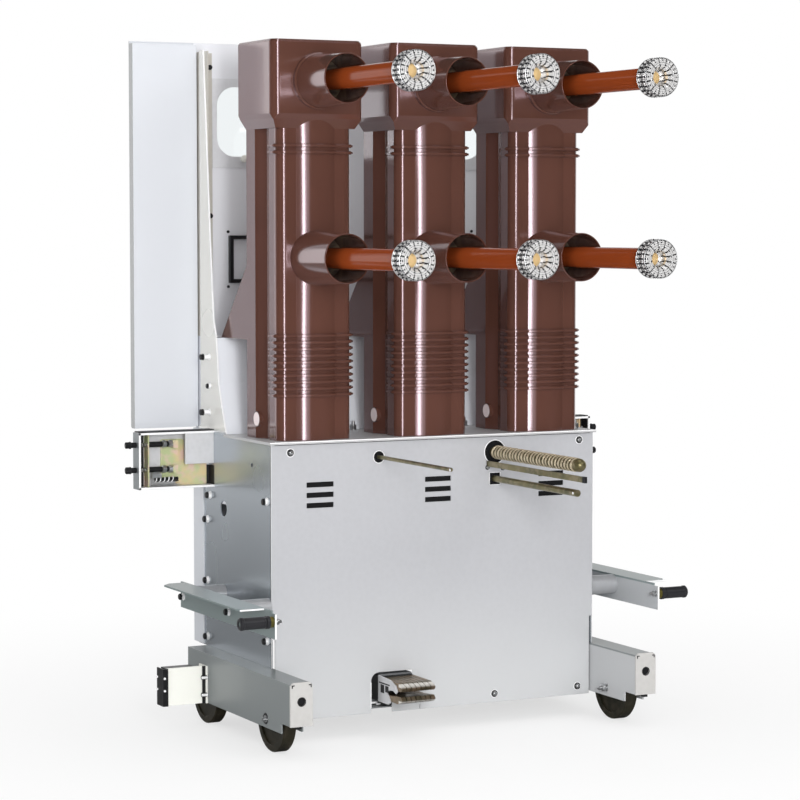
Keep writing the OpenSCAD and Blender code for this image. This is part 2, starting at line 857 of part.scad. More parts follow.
module rail_left() {
    color("slategray") on_left() rail();
}

module rail_spacers() {
    color("gainsboro") on_both() for (y = spacer_ys)
        bar_x(y, roller_z, [cab_hw, rail_x], spacer_d / 2);
}

// Guide roller: a barrel between two end flanges, with a groove near the rail
module roller(side) {
    x0 = rail_x + rail_t + 9 + seat_gap;
    bore = roller_pin_d / 2 + run_gap;
    r = roller_d / 2;
    color("dimgray") mirror([side < 0 ? 1 : 0, 0, 0]) translate([x0, roller_y, roller_z])
        rotate([0, 90, 0]) rotate_extrude() polygon([[bore, 0], [r - 1, 0], [r, 1], [r, 8],
            [r - 2.5, 9], [r - 2.5, 12], [r - 1, 13], [r - 1, roller_l - 9], [r, roller_l - 8],
            [r, roller_l - 3], [r - 3, roller_l], [bore, roller_l]]);
}

/* ---- Rods through the cover ---- */

module push_rods() {
    color("darkkhaki") {
        bar_y(-rod_x, shaft_z, [-rod_reach, mech_y], rod_d / 2);
        bar_y(rod_x + 3.5, low_rod_z, [-low_rod_reach, mech_y], low_rod_d / 2);
    }
}

// Drive shaft with evenly spaced round ridges and a domed end
module drive_shaft() {
    core = shaft_d / 2 - 2.5;
    dome = shaft_d / 2;
    n = floor((shaft_reach - 40) / shaft_pitch);
    color("darkkhaki") translate([rod_x + 3.5, 0, shaft_z]) {
        bar_y(0, 0, [dome - shaft_reach, mech_y], core);
        for (k = [0:n - 1]) translate([0, 22 + k * shaft_pitch - shaft_reach, 0])
            rotate([90, 0, 0]) rotate_extrude() translate([core, 0]) circle(2.5, $fn = 24);
        translate([0, dome - shaft_reach, 0]) intersection() {
            sphere(dome);
            block([-dome, dome], [-dome, 1], [-dome, dome]);
        }
    }
}

module guide_bar() {
    color("darkkhaki") translate([0, 0, bar_z]) linear_extrude(13, center = true)
        polygon([[rod_x - 17.5, mech_y], [rod_x - 17.5, 14 - bar_reach], [rod_x - 15, -bar_reach],
                 [rod_x - 12.5, 14 - bar_reach], [rod_x - 12.5, mech_y]]);
}

/* ---- Earth contact ---- */

module earth_finger(flip) {
    thick = 18;
    mirror([0, 0, flip]) translate([-earth_w / 2, 0, 0]) sheet_yz(0, earth_w) polygon([
        [40, earth_gap / 2 + 4], [-60, earth_gap / 2 + 4], [14 - earth_reach, earth_gap / 2],
        [6 - earth_reach, earth_gap / 2], [-earth_reach, earth_gap / 2 + 7],
        [4 - earth_reach, earth_gap / 2 + thick - 6], [24 - earth_reach, earth_gap / 2 + thick],
        [40, earth_gap / 2 + thick]]);
}

module earth_fingers() {
    color("peru") translate([earth_x, 0, earth_z]) for (k = [0:earth_n - 1], flip = [0, 1])
        translate([(k - (earth_n - 1) / 2) * earth_pitch, 0, 0]) earth_finger(flip);
}

module earth_bracket() {
    w = earth_hw + 2;
    pan_top = beam_ground + 4 + sheet;
    top = earth_z + earth_gap / 2 + 22;
    color("gray") translate([earth_x, 0, 0]) {
        block([-w, w], [40, 48], [pan_top, top]);
        block([-w, w], [10, 48], [earth_z + earth_gap / 2 + 18, top]);
        block([-w, w], [10, 48], [earth_z - earth_gap / 2 - 22, earth_z - earth_gap / 2 - 18]);
        block([-w, w], [48, 90], [pan_top, pan_top + 5]);
    }
}

/* ---- Stop on the rear left of the chassis ---- */

// Pale plate with a flange that is bolted to the beam
module stop_bracket() {
    color("ivory") on_left() {
        block([stop_x, stop_x + 4], [stop_y - 8, stop_y + 36], stop_z);
        block([stop_x, stop_x + stop_w], [stop_y, stop_y + 6], stop_z);
    }
}

// Black channel at the plate's free end, the flange behind its top and the strip by the beam
module stop_columns() {
    free_end = stop_x + stop_w;
    color("dimgray") on_left() {
        difference() {
            block([free_end, free_end + 13], [stop_y - 6, stop_y + 33], stop_z);
            block([free_end + 3, free_end + 10], [stop_y - 3, stop_y + 34],
                  [stop_z[0] - 1, stop_z[1] + 1]);
        }
        block([stop_x + 30, free_end + 1], [stop_y + 6, stop_y + 33], [stop_z[1] - 5, stop_z[1]]);
        block([stop_x + 4, stop_x + 11], [stop_y - 4, stop_y], stop_z);
    }
}

placed() chassis_beam_left();
placed() chassis_beam_right();
placed() beam_end_plates();
placed() side_plate_left();
placed() side_plate_right();
placed() arm_side_cover();
placed() deck_plate();
placed() floor_pan();
placed() mechanism_box();
placed() operator_cover();
placed() pole(0);  // pole_a
placed() pole(1);  // pole_b
placed() pole(2);  // pole_c
placed() terminal_discs();
placed() pole_plugs();
placed() arms(0);  // arms_a
placed() arms(1);  // arms_b
placed() arms(2);  // arms_c
placed() tulips(0);  // tulips_a
placed() tulips(1);  // tulips_b
placed() tulips(2);  // tulips_c
placed() front_panel();
placed() wing_left();
placed() wing_right();
placed() window_plates();
placed() window_panes();
placed() panel_bezels();
placed() panel_angles();
placed() side_channel_left();
placed() side_channel_right();
placed() interlock_plates();
placed() locking_bolts();
placed() rail_left();
placed() rail_right();
placed() rail_spacers();
placed() push_rods();
placed() drive_shaft();
placed() guide_bar();
placed() earth_bracket();
placed() earth_fingers();
placed() stop_bracket();
placed() stop_columns();
placed() wheel_axles();
placed() wheel(-1, axle_front_y);  // wheel_front_left
placed() wheel(1, axle_front_y);  // wheel_front_right
placed() wheel(-1, axle_rear_y);  // wheel_rear_left
placed() wheel(1, axle_rear_y);  // wheel_rear_right
placed() roller(-1);  // roller_left
placed() roller(1);  // roller_right
placed() operator_controls();
placed() pull_handles();
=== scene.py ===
# %% [markdown]
# # A roll-in vacuum circuit breaker
# The object is a truck for indoor switchgear: three cast-resin poles carry six insulated arms
# that end in sprung tulip contacts, and everything stands on a sheet-steel cabinet with wheels.
# The construction is fixed before this lesson starts. Here the pieces get their finishes, their
# fasteners and their small fittings, all placed from the boxes of the pieces that carry them.

# %% Load the fixed construction
import json
import math

import bmesh
import bpy
from mathutils import Matrix, Vector


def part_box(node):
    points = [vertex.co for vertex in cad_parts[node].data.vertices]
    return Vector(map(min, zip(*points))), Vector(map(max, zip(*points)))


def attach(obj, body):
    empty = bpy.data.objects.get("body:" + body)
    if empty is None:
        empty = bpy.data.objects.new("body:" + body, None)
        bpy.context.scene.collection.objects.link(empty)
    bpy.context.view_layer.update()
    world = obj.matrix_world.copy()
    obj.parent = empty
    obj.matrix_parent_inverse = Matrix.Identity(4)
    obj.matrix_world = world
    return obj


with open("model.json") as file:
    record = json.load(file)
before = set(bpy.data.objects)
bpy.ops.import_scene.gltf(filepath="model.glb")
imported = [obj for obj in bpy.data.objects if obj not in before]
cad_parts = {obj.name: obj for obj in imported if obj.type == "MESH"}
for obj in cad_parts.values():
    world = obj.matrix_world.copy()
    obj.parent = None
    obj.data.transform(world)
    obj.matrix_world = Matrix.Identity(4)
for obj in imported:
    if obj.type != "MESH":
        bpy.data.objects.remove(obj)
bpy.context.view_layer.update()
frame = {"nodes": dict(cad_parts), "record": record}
nodes = frame["nodes"]
slots = {s["node"]: s["material_slot"] for s in frame["record"]["subparts"]}
TRUCK = "truck"
MM = 0.001

# %% [markdown]
# ## Camera
# A long lens from well in front keeps the three poles nearly parallel, which is how a catalogue
# shows switchgear. A short lens nearer by would make the first pole tower over the others.

# %% Camera
CAMERA_PLACE = (-2.807, -5.401, 1.178)
CAMERA_YAW = math.radians(26.69)
CAMERA_TILT = math.radians(-3.845)
LENS = 118.26


def in_scene(name, data):
    """New object of that name in the scene, made from its data."""
    thing = bpy.data.objects.new(name, data)
    bpy.context.scene.collection.objects.link(thing)
    return thing


camera_data = bpy.data.cameras.new("catalogue_lens")
camera_data.lens = LENS
camera_data.clip_end = 100
camera = in_scene("catalogue_camera", camera_data)
camera.location = CAMERA_PLACE
camera.rotation_euler = (math.pi / 2 + CAMERA_TILT, 0, -CAMERA_YAW)
bpy.context.scene.camera = camera
bpy.context.scene.view_settings.view_transform = "Standard"
print(f"camera {LENS} mm, {camera.location.length:.2f} m from the middle")

# %% [markdown]
# ## Shader maths as plain expressions
# A finish is a small program: some noise, a mask, a mix. Written as nodes it is hard to read, so
# one class wraps a socket and lets Python's own operators add the Math nodes behind it.

# %% Socket arithmetic
def add_node(tree, kind, values=(), output=0, **settings):
    """Any node: its settings are set first, then its sockets' values or links; gives an output."""
    node = tree.nodes.new(kind)
    for label, value in settings.items():
        setattr(node, label, value)
    for label, value in dict(values).items():
        if isinstance(value, bpy.types.NodeSocket):
            tree.links.new(value, node.inputs[label])
        else:
            node.inputs[label].default_value = value
    return node.outputs[output]


class Wire:
    """A value on its way through a material."""

    def __init__(self, finish, socket):
        self.finish = finish
        self.socket = socket

    def maths(self, operation, *others):
        values = dict(enumerate((self, *others)))
        return self.finish.node("ShaderNodeMath", values, operation=operation)

    def __add__(self, other):
        return self.maths("ADD", other)

    def __mul__(self, other):
        return self.maths("MULTIPLY", other)

    def __sub__(self, other):
        return self.maths("SUBTRACT", other)

    def __rsub__(self, other):
        return (self * -1) + other

    def __pow__(self, other):
        return self.maths("POWER", other)

    def over(self, edge, soft):
        """0 below the edge and 1 above it, with a soft step between."""
        values = {"Value": self, "From Min": edge - soft, "From Max": edge + soft}
        return self.finish.node("ShaderNodeMapRange", values, interpolation_type="SMOOTHSTEP")

    def near(self, centre, half, soft):
        """1 within half of the centre, falling to 0 over twice the soft width."""
        return 1 - (self - centre).maths("ABSOLUTE").over(half, soft)

    __radd__ = __add__
    __rmul__ = __mul__


# Every finish that is made, by its name
FINISHES = {}


def shade(colour, factor):
    return tuple(min(1.0, c * factor) for c in colour)


class Finish:
    """One surface finish, built round a Principled shader."""

    def __init__(self, name, colour, metallic=0.0, roughness=0.5, **constants):
        self.material = FINISHES[name] = bpy.data.materials.new(name)
        self.material.use_nodes = True
        self.tree = self.material.node_tree
        self.shader = self.tree.nodes["Principled BSDF"]
        self.colour = colour
        self.set(base_color=(*colour, 1), metallic=metallic, roughness=roughness, **constants)
        self.place = self.node("ShaderNodeTexCoord", output="Object")

    def set(self, **values):
        """Sets or links the shader's sockets, named in lower case."""
        for label, value in values.items():
            socket = self.shader.inputs[label.replace("_", " ").title().replace("Ior", "IOR")]
            if isinstance(value, Wire):
                self.tree.links.new(value.socket, socket)
            else:
                socket.default_value = value

    def node(self, kind, values=(), output=0, **settings):
        plain = {label: value.socket if isinstance(value, Wire) else value
                 for label, value in dict(values).items()}
        return Wire(self, add_node(self.tree, kind, plain, output, **settings))

    def axis(self, label):
        """One of the Object coordinates, X, Y or Z."""
        return self.node("ShaderNodeSeparateXYZ", {0: self.place}, label)

    def noise(self, scale, detail=3.0, stretch=None):
        place = self.place
        if stretch:
            place = self.node("ShaderNodeMapping", {"Vector": place, "Scale": stretch})
        return self.node("ShaderNodeTexNoise", {"Vector": place, "Scale": scale, "Detail": detail})

    def mix(self, amount, *colours):
        """Blends two colours, each a link or plain red, green and blue."""
        first, second = [c if isinstance(c, Wire) else (*c, 1) for c in colours]
        return self.node("ShaderNodeMix", {0: amount, 6: first, 7: second}, 2, data_type="RGBA")

    def tones(self, amount, darker, lighter):
        """Drifts between two shades of the finish's own colour."""
        return self.mix(amount, shade(self.colour, darker), shade(self.colour, lighter))

    def rounded(self, radius):
        """A normal that turns smoothly over every sharp edge."""
        return self.node("ShaderNodeBevel", {"Radius": radius}, samples=4)

    def paint_edge_highlight(self, body, rounded, tone, share, start=0.12, soft=0.1):
        """Paints a highlight onto sharp edges, found where a rounded normal leaves the true one."""
        straight = self.node("ShaderNodeNewGeometry", output="True Normal")
        lean = 1 - self.node("ShaderNodeVectorMath", {0: rounded, 1: straight}, 1,
                             operation="DOT_PRODUCT")
        return self.mix(lean.over(start, soft) * share, body, tone)

    def bump(self, height, strength, distance, normal=None):
        values = {"Height": height, "Strength": strength, "Distance": distance}
        if normal is not None:
            values["Normal"] = normal
        return self.node("ShaderNodeBump", values)


print("socket arithmetic ready")

# %% [markdown]
# ## Cast resin
# The poles are epoxy cast in polished moulds: deep red-brown, glossy, and faintly wavy because
# the resin shrinks as it cures. A flat brown would look like painted wood, so the colour drifts
# slowly and a very shallow wave bends the reflections.

# %% Resin and sleeve finishes
def cast_resin(name):
    finish = Finish(name, (0.098, 0.041, 0.029), roughness=0.14, specular_ior_level=1.0,
                    specular_tint=(1.0, 0.76, 0.88, 1.0), coat_weight=0.5, coat_roughness=0.08)
    flow = finish.noise(9, 2, (1, 1, 0.25))
    wave = finish.bump(flow, 0.2, 4 * MM, finish.rounded(1.5 * MM))
    finish.set(base_color=finish.tones(finish.noise(4.5, 2), 0.84, 1.2),
               roughness=flow * 0.1 + 0.1,
               normal=finish.bump(finish.noise(260, 2), 0.02, 0.6 * MM, wave))


def arm_sleeve(name):
    finish = Finish(name, (0.25, 0.047, 0.011), roughness=0.32, specular_ior_level=0.09,
                    coat_weight=0.0)
    along = finish.noise(14, 2, (1, 0.15, 1))
    finish.set(base_color=finish.tones(along, 0.8, 1.25), roughness=along * 0.12 + 0.08,
               normal=finish.bump(along, 0.12, 2 * MM))


def plug_resin(name):
    finish = Finish(name, (0.90, 0.78, 0.78), roughness=0.35)
    finish.set(base_color=finish.tones(finish.noise(60), 0.9, 1.1))


print("resin finishes ready")

# %% [markdown]
# ## Sheet metal
# Zinc-coated and powder-coated sheet differ mostly in how they scatter light. Zinc has a faint
# crystal pattern and long rolling marks, a powder coat has a fine even pebble. Both catch the
# light on their folded edges, so each has a rounded normal and a painted highlight on its edges.

# %% Zinc, powder coat and paint
SHEET_EDGE = 1.2 * MM
PEBBLE_DEPTH = 0.4 * MM


def at_sides(finish, body, sides):
    """For each (reach, colour), repaints what lies farther than reach from the middle plane."""
    for reach, colour in sides:
        out = finish.axis("X").maths("ABSOLUTE").over(reach * MM, 0.1 * MM)
        body = finish.mix(out, body, colour)
    return body


def zinc_sheet(name, colour, metallic=0.35, roughness=0.42, crystal=0.05, grain_depth=0.05,
               sides=(), upper=None, painted_floor_bounce=None):
    """Galvanised sheet; sides and upper repaint the far and the high parts, and the last option
    paints light on the low part, a paler tone where the floor would throw light up.
    """
    finish = Finish(name, colour, metallic, roughness)
    drift = finish.noise(3.2, 2)
    grain = finish.noise(120, 2, (1, 1, 0.06))
    patch = finish.node("ShaderNodeTexVoronoi", {"Vector": finish.place, "Scale": 85}, "Distance",
                        feature="F1")
    normal = finish.rounded(SHEET_EDGE)
    tone = drift * 0.5 + patch * crystal * 8 + grain * (grain_depth * 3)
    body = at_sides(finish, finish.tones(tone, 0.9, 1.08), sides)
    if painted_floor_bounce:
        height = painted_floor_bounce[0] * MM
        body = finish.mix(1 - finish.axis("Z").over(height, height), body, painted_floor_bounce[1])
    if upper:
        above = finish.axis("Z").over(upper[0] * MM, 6 * MM)
        body = finish.mix(above, body, upper[1])
        finish.set(metallic=above * (0.1 - metallic) + metallic)
    # Painted highlight on the sheet's sharp edges.
    body = finish.paint_edge_highlight(body, normal, shade(colour, 1.35), 0.6)
    if grain_depth:
        normal = finish.bump(grain, grain_depth, PEBBLE_DEPTH, normal)
    finish.set(base_color=body, normal=normal,
               roughness=grain * (grain_depth * 2.4) + drift * 0.06 + (roughness - 0.03))


def powder_coat(name, colour, roughness=0.4, sides=(), far=None):
    """Coated sheet; far = (height, colour) paints light: a paler tone on the right-hand part below
    that height.
    """
    finish = Finish(name, colour, 0.0, roughness, coat_weight=0.1)
    pebble = finish.noise(700, 2)
    rounded = finish.rounded(SHEET_EDGE)
    body = at_sides(finish, finish.tones(finish.noise(2.5, 2), 0.95, 1.04), sides)
    if far:
        low = 1 - finish.axis("Z").over(far[0] * MM, 0.2 * MM)
        body = finish.mix(finish.axis("X").over(0, 0.1) * low, body, far[1])
    # Painted highlight on the coat's sharp edges.
    finish.set(base_color=finish.paint_edge_highlight(body, rounded, shade(colour, 1.3), 0.5),
               roughness=pebble * 0.1 + (roughness - 0.05),
               normal=finish.bump(pebble, 0.06, PEBBLE_DEPTH, rounded))


print("sheet finishes ready")

# %% [markdown]
# ## Silvered contacts
# A contact's mouth shows the gaps between its finger leaves as rings of painted shade, and the
# seat behind it lies deep in a boss, where light reaches only a crescent; the shade round it is
# painted as well. Both patterns turn round each contact's own axis, so the pole pitch and the two
# arm levels are folded onto one contact.

# %% Silver
FINGERS = 12
SEAT_SHIFT = 52 * MM
SEAT_LIT = 46.6 * MM
near_low, near_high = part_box("tulips_b")
next_low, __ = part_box("tulips_c")
PHASE_PITCH = next_low.x - near_low.x
TULIP_R = (near_high.x - near_low.x) / 2
LOWER_ARM = near_low.z + TULIP_R
UPPER_ARM = near_high.z - TULIP_R


def silver_plate(name, colour, roughness=0.2, metallic=1.0):
    finish = Finish(name, colour, metallic, roughness)
    smear = finish.noise(55, 3)
    finish.set(base_color=finish.tones(smear, 0.82, 1.08),
               roughness=smear * 0.18 + (roughness - 0.08), normal=finish.rounded(0.6 * MM))


def round_each_contact(finish, shift=0.0):
    """Places across and above the nearest contact's axis, and the distance from it."""
    level = finish.axis("Z")
    across = finish.axis("X").maths("WRAP", PHASE_PITCH / 2, -PHASE_PITCH / 2) + shift
    upper = level.over((LOWER_ARM + UPPER_ARM) / 2, 10 * MM)
    height = level - LOWER_ARM - upper * (UPPER_ARM - LOWER_ARM)
    return across, height, (across * across + height * height) ** 0.5


def contact_silver(name):
    """Silver with painted shade in the gaps between the finger leaves and in two grooves, plus a
    few random smudges, laid out round each contact's own axis.
    """
    finish = Finish(name, (0.95, 0.93, 0.92), 0.5, 0.2)
    across, height, radius = round_each_contact(finish)

    def ring(middle, half, soft=0.4):
        return radius.near(middle * MM, half * MM, soft * MM)

    angle = height.maths("ARCTAN2", across) + finish.noise(420, 1) * 0.12
    fine = (angle * (2 * FINGERS)).maths("SINE")
    slit = (angle * FINGERS).maths("COSINE") * -1
    # Dots, dashes, leaves and sides mark the gaps between the finger leaves: painted shade.
    dots = fine.over(0.35, 0.2) * ring(36.4, 1.3)
    dashes = slit.over(0.72, 0.12) * (ring(21.6, 1.5) + ring(26.6, 1.6))
    leaves = fine.over(0.6, 0.2) * ring(31.5, 1.4, 0.5) * 0.6
    sides = fine.over(0.2, 0.2) * radius.over(39.3 * MM, 0.2 * MM)
    smear = finish.noise(160, 3)
    marks = dots + dashes + leaves + sides + smear.over(0.6, 0.05) * 0.4
    # Two dark grooves: painted shade.
    grooves = ring(27, 0.4, 0.3) + ring(32, 0.4, 0.3)
    dark = marks.over(0.5, 0.4) * (1 - ring(29.4, 2, 0.3)) + grooves * 0.75
    finish.set(base_color=finish.mix(dark, finish.tones(smear, 0.86, 1.08),
                                     (0.03, 0.028, 0.035)),
               roughness=smear * 0.2 + 0.12, normal=finish.rounded(0.6 * MM))


def seat_silver(name):
    """Contact seat deep in a boss, with painted shade: near black all round, silver only in the
    crescent that light would reach.
    """
    finish = Finish(name, (0.95, 0.90, 0.86), 1.0, 0.3)
    across, height, radius = round_each_contact(finish, SEAT_SHIFT)
    lit = 1 - radius.over(SEAT_LIT, 1.5 * MM)
    streaks = finish.noise(40, 2, (1, 1, 3)).over(0.5, 0.12)
    shaded = finish.mix(streaks, (0.028, 0.018, 0.014), (0.10, 0.075, 0.045))
    finish.set(base_color=finish.mix(lit, shaded, finish.colour), metallic=lit)


print(f"poles {PHASE_PITCH / MM:.0f} mm apart")

# %% [markdown]
# ## Passivated, dark and moulded parts
# Yellow passivation is a thin chromate film on zinc: it drifts between straw, olive and a
# pinkish sheen. Two slow noises choose the hue, which no single flat yellow could suggest.

# %% Passivation, iron, plastic and glass
TIP_FROM_MIDDLE = 15.5 * MM


def passivated(name, straw, olive, blush, metallic=0.8, roughness=0.34, pale_tips_shaded_root=None):
    """Chromate film; the optional (tip, root, level) in mm gives pale outer tips, and painted
    shade, near black, behind the root.
    """
    finish = Finish(name, straw, metallic, roughness)
    quick = finish.noise(48, 3)
    body = finish.mix(finish.noise(16, 3).over(0.5, 0.14), straw, olive)
    body = finish.mix(quick.over(0.56, 0.12) * 0.7, body, blush)
    if pale_tips_shaded_root:
        tip_y, root_y, level = [value * MM for value in pale_tips_shaded_root]
        depth = finish.axis("Y")
        outer = (finish.axis("Z") - level).maths("ABSOLUTE").over(TIP_FROM_MIDDLE, 1.5 * MM)
        tip = 1 - depth.over(tip_y, 3 * MM)
        body = finish.mix(tip * outer, body, (0.95, 0.91, 0.84))
        body = finish.mix(depth.over(root_y, 3 * MM), body, (0.02, 0.018, 0.015))
    rounded = finish.rounded(0.8 * MM)
    # Painted highlight on the film's sharp edges.
    finish.set(base_color=finish.paint_edge_highlight(body, rounded, shade(straw, 1.5), 0.4),
               roughness=quick * 0.16 + (roughness - 0.08),
               normal=finish.bump(quick, 0.04, 0.5 * MM, rounded))


def dark_metal(name, colour=(0.028, 0.028, 0.03), metallic=0.7, roughness=0.38):
    finish = Finish(name, colour, metallic, roughness)
    wear = finish.noise(90, 3)
    rounded = finish.rounded(0.6 * MM)
    body = finish.tones(wear, 0.7, 1.5)
    # Painted highlight on the sharp edges.
    finish.set(base_color=finish.paint_edge_highlight(body, rounded, (0.3, 0.3, 0.31), 0.5, 0.2, 0.12),
               roughness=wear * 0.2 + (roughness - 0.1), normal=rounded)


def moulded_plastic(name, colour, roughness=0.42):
    finish = Finish(name, colour, 0.0, roughness)
    pebble = finish.noise(900, 2)
    finish.set(base_color=finish.tones(finish.noise(20), 0.85, 1.2),
               normal=finish.bump(pebble, 0.08, 0.3 * MM, finish.rounded(0.8 * MM)))


def clear_pane(name):
    finish = Finish(name, (0.93, 0.97, 0.98), ior=1.49, transmission_weight=1.0)
    finish.set(roughness=finish.noise(30, 3) * 0.05)


print("metal and plastic finishes ready")

# %% [markdown]
# ## One finish for every slot
# Each fixed piece names its material, and the finish of that name goes on it. Heights and reaches
# are in millimetres from the floor and from the middle plane.

# %% Dress every fixed piece
cast_resin("cast_resin")
arm_sleeve("arm_sleeve")
plug_resin("plug_resin")
contact_silver("tulip_silver")
silver_plate("core_brass", (0.94, 0.66, 0.32), 0.4, 0.25)
seat_silver("silvered_copper")
# The cover is painted paler below 220 mm: painted light from the floor.
zinc_sheet("cover_zinc", (0.505, 0.51, 0.535), 0.2, crystal=0.03,
           painted_floor_bounce=(220, (0.65, 0.66, 0.67)))
zinc_sheet("cabinet_zinc", (0.47, 0.51, 0.55), 0.78, 0.27, 0, 0,
           upper=(690, (0.80, 0.79, 0.75)))
zinc_sheet("deck_zinc", (0.60, 0.60, 0.61))
zinc_sheet("pan_zinc", (0.26, 0.27, 0.28))
# Beyond 609.6 mm the outer end faces of the channel are painted darker: painted shade.
zinc_sheet("channel_zinc", (0.72, 0.72, 0.735), roughness=0.36,
           sides=[(609.6, (0.24, 0.26, 0.27))])
zinc_sheet("spacer_zinc", (0.50, 0.51, 0.53), 0.5, 0.3)
zinc_sheet("window_plate_zinc", (0.74, 0.75, 0.78), 0.1)
zinc_sheet("angle_steel", (0.57, 0.545, 0.495), 0.2)
zinc_sheet("end_plate_paint", (0.53, 0.52, 0.505), metallic=0.1)
powder_coat("housing_paint", (0.79, 0.81, 0.86))
# Beyond 581.5 mm the side returns of the wings are painted darker: painted shade.
powder_coat("panel_paint", (0.80, 0.81, 0.85),
            sides=[(419.5, (0.64, 0.66, 0.70)), (581.5, (0.34, 0.35, 0.355))])
# The right-hand beam and rail get a paler tone low down: painted light.
powder_coat("beam_paint", (0.22, 0.24, 0.243), 0.36, far=(168, (0.50, 0.51, 0.52)))
powder_coat("rail_paint", (0.205, 0.25, 0.25), 0.32, far=(327.5, (0.44, 0.455, 0.47)))
powder_coat("stop_paint", (0.97, 0.97, 0.90))
passivated("passivated_plate", (0.86, 0.63, 0.36), (0.58, 0.64, 0.34), (0.84, 0.58, 0.56),
           0.35)
passivated("rod_zinc", (0.27, 0.235, 0.115), (0.16, 0.155, 0.08), (0.38, 0.32, 0.21))
# The earth fingers go near black behind their root: painted shade.
passivated("earth_copper", (0.26, 0.18, 0.11), (0.16, 0.14, 0.09), (0.34, 0.25, 0.18),
           pale_tips_shaded_root=(-108, -18, 109))
passivated("wheel_iron", (0.036, 0.031, 0.018), (0.024, 0.023, 0.014), (0.055, 0.046, 0.03),
           0.4, 0.45)
dark_metal("black_steel")
silver_plate("bright_zinc", (0.72, 0.73, 0.74), 0.3)
# Near black; also used for strips that paint the shade of gaps, slits and recesses.
dark_metal("blackened", (0.012, 0.012, 0.014), 0.2, 0.5)
moulded_plastic("slot_shade", (0.003, 0.003, 0.004), 0.8)
# Near white; used above all for the painted highlights on edges, rims and bolt shanks.
powder_coat("white_edge", (0.93, 0.93, 0.94))
silver_plate("coil_brass", (0.86, 0.74, 0.52), 0.22, 0.6)
passivated("olive_film", (0.26, 0.21, 0.05), (0.18, 0.16, 0.05), (0.3, 0.24, 0.1))
dark_metal("coil_shadow", (0.075, 0.062, 0.028), 0.5, 0.4)
moulded_plastic("black_plastic", (0.012, 0.012, 0.014))
moulded_plastic("roller_plastic", (0.02, 0.02, 0.023), 0.3)
clear_pane("window_glass")


def dress(piece, material):
    piece.data.materials.clear()
    piece.data.materials.append(material)


for name, piece in nodes.items():
    dress(piece, FINISHES[slots[name]])
print(f"{len(FINISHES)} finishes on {len(nodes)} nodes")

# %% [markdown]
# ## Stage
# A pale floor and a pale world. Lamps light the object, and only camera, mirror and glass rays
# see the world as full white, so the background stays white without flooding the object.

# %% Floor, world and lamps
WORLD_FILL = 0.74
FLOOR = 30


def seen_directly(tree):
    """1 for rays that show the background: straight, mirrored or through glass."""
    paths = tree.nodes.new("ShaderNodeLightPath").outputs
    total = paths["Is Camera Ray"]
    for label in ("Is Glossy Ray", "Is Transmission Ray"):
        total = add_node(tree, "ShaderNodeMath", {0: total, 1: paths[label]}, operation="MAXIMUM")
    return total


world = bpy.data.worlds.new("studio")
bpy.context.scene.world = world
world.use_nodes = True
sky = world.node_tree
backdrop = sky.nodes["Background"]
backdrop.inputs["Color"].default_value = (1, 1, 1, 1)
level = add_node(sky, "ShaderNodeMapRange", {"To Min": WORLD_FILL, "Value": seen_directly(sky)})
sky.links.new(level, backdrop.inputs["Strength"])


def board(name, points, faces=((0, 1, 2, 3),)):
    mesh = bpy.data.meshes.new(name)
    mesh.from_pydata(points, [], faces)
    return in_scene(name, mesh)


def rectangle(left, right, front, back, height):
    return [(left, front, height), (right, front, height), (right, back, height),
            (left, back, height)]


def floor_finish():
    """Shaded close to the object, plain white farther out, where no shadow falls."""
    finish = Finish("studio_floor", (0.93, 0.93, 0.93), roughness=0.9)
    away = finish.node("ShaderNodeVectorMath", {0: finish.place}, 1, operation="LENGTH")
    white = Wire(finish, seen_directly(finish.tree)) * (away.over(1.4, 0.9) * 0.35 + 0.65)
    glow = finish.node("ShaderNodeEmission")
    lit = Wire(finish, finish.shader.outputs[0])
    blend = finish.node("ShaderNodeMixShader", {0: white, 1: lit, 2: glow})
    finish.tree.links.new(blend.socket, finish.tree.nodes["Material Output"].inputs["Surface"])
    return finish.material


floor = board("studio_floor", rectangle(-FLOOR, FLOOR, -FLOOR, FLOOR, 0))
dress(floor, floor_finish())


def softbox(name, place, width, height, brightness):
    """Area lamp whose surface has the given brightness, turned towards the object's middle."""
    lamp = bpy.data.lights.new(name, "AREA")
    lamp.shape = "RECTANGLE"
    lamp.size = width
    lamp.size_y = height
    lamp.energy = brightness * math.pi * width * height
    thing = in_scene(name, lamp)
    thing.location = place
    thing.rotation_euler = (Vector(MIDDLE) - Vector(place)).to_track_quat("-Z", "Y").to_euler()
    return thing


def mirror_only(name, tone, *outline):
    """A studio board that only mirrors see, so that gloss has something dark to show."""
    thing = board(name, *outline)
    thing.visible_camera = False
    thing.visible_diffuse = False
    thing.visible_shadow = False
    thing.visible_transmission = False
    dress(thing, Finish(name, (tone, tone, tone), roughness=1.0).material)


SIDE = 6.0
FRONT = -6.5
LEFT_BACK = 3.2
RIGHT_BACK = 0.6
TOP = 5.0
CEILING_BACK = 9.0
CLOTH = 0.003
MIDDLE = (0, 0, 0.95)
walls = [(-SIDE, LEFT_BACK), (-SIDE, FRONT), (SIDE, FRONT), (SIDE, RIGHT_BACK)]
mirror_only("dark_tent", 0.012, [(x, y, z) for z in (0, TOP) for x, y in walls],
            [(0, 1, 5, 4), (1, 2, 6, 5), (2, 3, 7, 6)])
mirror_only("dark_ceiling", 0.012, rectangle(-SIDE, SIDE, FRONT, CEILING_BACK, TOP))
mirror_only("floor_cloth", 0.22, rectangle(-SIDE, SIDE, FRONT, SIDE, CLOTH))

